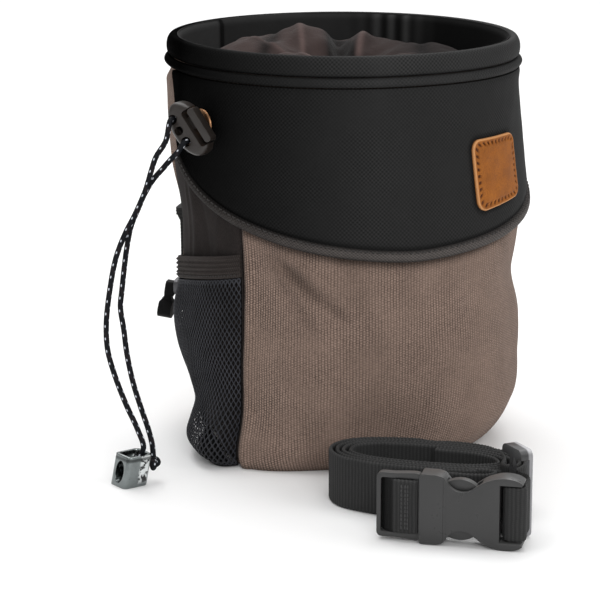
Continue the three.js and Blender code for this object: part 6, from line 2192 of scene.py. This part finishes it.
class Buckle:
    """The fastened side-squeeze buckle: the female housing and the male frame with its prongs inside."""

    FEMALE = (
        (0.0, 12.1), (0.25, 12.75), (0.7, 13.0), (3.5, 13.0), (6.5, 12.9), (8.6, 12.2), (9.8, 10.7),
        (11.2, 8.9), (13.0, 7.7), (15.4, 7.2), (18.0, 7.7), (20.4, 9.4), (23.0, 11.2), (26.0, 12.5),
        (29.0, 13.3), (32.0, 13.4), (34.8, 12.9), (36.6, 12.1), (37.35, 11.4), (36.8, 10.8),
    )
    MALE = ((-16.0, 10.0), (-15.85, 10.9), (-15.3, 11.6), (-14.4, 12.0), (-10.0, 12.0), (-0.3, 12.0),
            (-0.3, 10.3))
    PRONG = (
        (-2.0, 10.3), (4.0, 10.3), (10.0, 10.35), (12.4, 11.1), (15.4, 11.3), (18.4, 10.4), (20.6, 8.8),
        (21.6, 7.8), (20.6, 6.6), (16.0, 6.5), (5.0, 6.6), (4.1, 6.0), (3.8, 5.0),
    )

    def matrix(self) -> Matrix:
        """Stands the buckle's own plane upright at its place."""
        x, y = BeltRoute.BUCKLE
        turn = Matrix.Rotation(BeltRoute.BUCKLE_TURN, 4, "Z") @ spin(90.0, "X")
        return shift((x, y, BeltRoute.BUCKLE_MIDDLE)) @ turn

    @staticmethod
    def mirrored(half: tuple[Spot, ...], *corners: Spot) -> Array:
        """A closed outline from one half, smoothed and run on to some corners, and its mirror image."""
        line = np.vstack([smooth_route(np.array(half), 0.5), *corners])
        return np.vstack([line, (line * np.array([1.0, -1.0]))[::-1]])

    def female(self) -> None:
        """A housing with waisted sides, its cavity, the rails, the bar and a moulded step on its faces."""
        room = 10.8
        block = prism(self.mirrored(self.FEMALE, (29.0, room)), -4.0, 4.0)
        cavity = carving_block((24.0, 2 * room, 4.0), (11.0, 0.0, 0.0), 0.5)
        steps = [carving_block((1.1, 30.0, 0.7), (9.2, 0.0, side * 4.1), 0.2) for side in (-1, 1)]
        bar = carving_block((4.6, 2 * room + 2.0, 2.2), (34.0, 0.0, 0.0), 0.8)
        mesh = Build.carved(block, [cavity, *steps], [bar], edge=0.75, segments=4)
        Build.place("buckle_housing", mesh, BUCKLE_PLASTIC, "buckle_female", sharp=38.0, at=self.matrix())

    def male(self) -> None:
        """An open frame with a flat bar, a middle guide and two sprung prongs."""
        block = prism(self.mirrored(self.MALE), -1.7, 1.7)
        prong = np.vstack([smooth_route(np.array(self.PRONG), 0.5), [[-2.0, 5.0]]])
        prongs = [prism(prong * np.array([1.0, side]), -1.6, 1.6) for side in (-1.0, 1.0)]
        guide = carving_block((23.0, 5.4, 3.0), (9.6, 0.0, 0.0), 1.4)
        openings = [carving_block((5.9, 20.6, 8.0), (-11.55, 0.0, 0.0), 1.0),
                    carving_block((1.8, 17.0, 8.0), (-2.5, 0.0, 0.0), 0.6)]
        thin = [carving_block((8.4, 20.6, 5.0), (-6.5, 0.0, side * 3.6), 0.5) for side in (-1, 1)]
        mesh = Build.carved(block, [*openings, *thin], [*prongs, guide], edge=0.45, segments=3)
        Build.place("buckle_prongs", mesh, BUCKLE_PLASTIC, "buckle_male", sharp=38.0, at=self.matrix())

    def slider(self) -> None:
        """The sliding keeper: a tall frame with a middle bar behind the webbing and end bars before it."""
        room, bar, tall = 1.05, 1.35, 26.0
        block = carving_block((14.0, 33.0, 4.8), (0.0, 0.0, 0.0), 2.6)

        def cut(start: float, end: float, low: float, high: float) -> Mesh:
            """A cutter from one place along to another and from one depth to another."""
            middle = ((start + end) / 2, 0.0, (low + high) / 2)
            return carving_block((end - start, tall, high - low), middle, 0.3)

        cutters = [cut(-8.0, 8.0, -room, room), cut(-8.0, -1.4, -5.0, 0.0), cut(1.4, 8.0, -5.0, 0.0),
                   cut(-4.6, 4.6, 0.0, 5.0), cut(-8.0, 8.0, -5.0, -room - bar),
                   cut(-8.0, 8.0, room + bar, 5.0)]
        mesh = Build.carved(block, cutters, edge=0.5, segments=3)
        at = shift((4.9, -148.0, 16.5)) @ spin(92.5, "Z") @ spin(90.0, "X")
        Build.place("slider_frame", mesh, SLIDER_PLASTIC, "belt_slider", sharp=38.0, at=at)

    def build(self) -> None:
        """Both halves and the sliding keeper."""
        self.female()
        self.male()
        self.slider()


PATCH = LeatherPatch()
RIM = Ring("rim_cloth", "rim_band", COLLAR_CLOTH,
           ((1.0, 157.2), (1.9, 158.2), (2.1, 160.4), (1.9, 162.6), (0.8, 164.8), (-0.7, 165.3),
            (-2.2, 164.8), (-3.3, 162.6), (-3.3, 157.2)), inner_shade=0.8)
PIPING = Ring("piping_cloth", "rim_piping", COLLAR_CLOTH,
              ((0.2, 153.2), (1.9, 153.3), (2.9, 154.3), (3.15, 155.15), (2.9, 156.0), (1.9, 156.95),
               (0.2, 157.0)), step=0.35)


def main() -> None:
    """Builds the studio and every sub-assembly."""
    logging.basicConfig(level=logging.INFO, format="%(name)s %(message)s")
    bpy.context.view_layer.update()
    Studio().build()
    Drawcord().build()
    CordLock().build()
    Eyelet().build()
    CanvasBody().build()
    SidePanel().build()
    CollarCloth().build()
    Binding().build()
    RIM.build()
    PIPING.build()
    InnerBand().build()
    Closure().build()
    pocket = MeshPocket()
    pocket.build()
    pocket.elastic()
    PATCH.build()
    BeltLoops().build()
    RearZip().build()
    Webbing().build()
    Buckle().build()


if __name__ == "__main__":
    main()
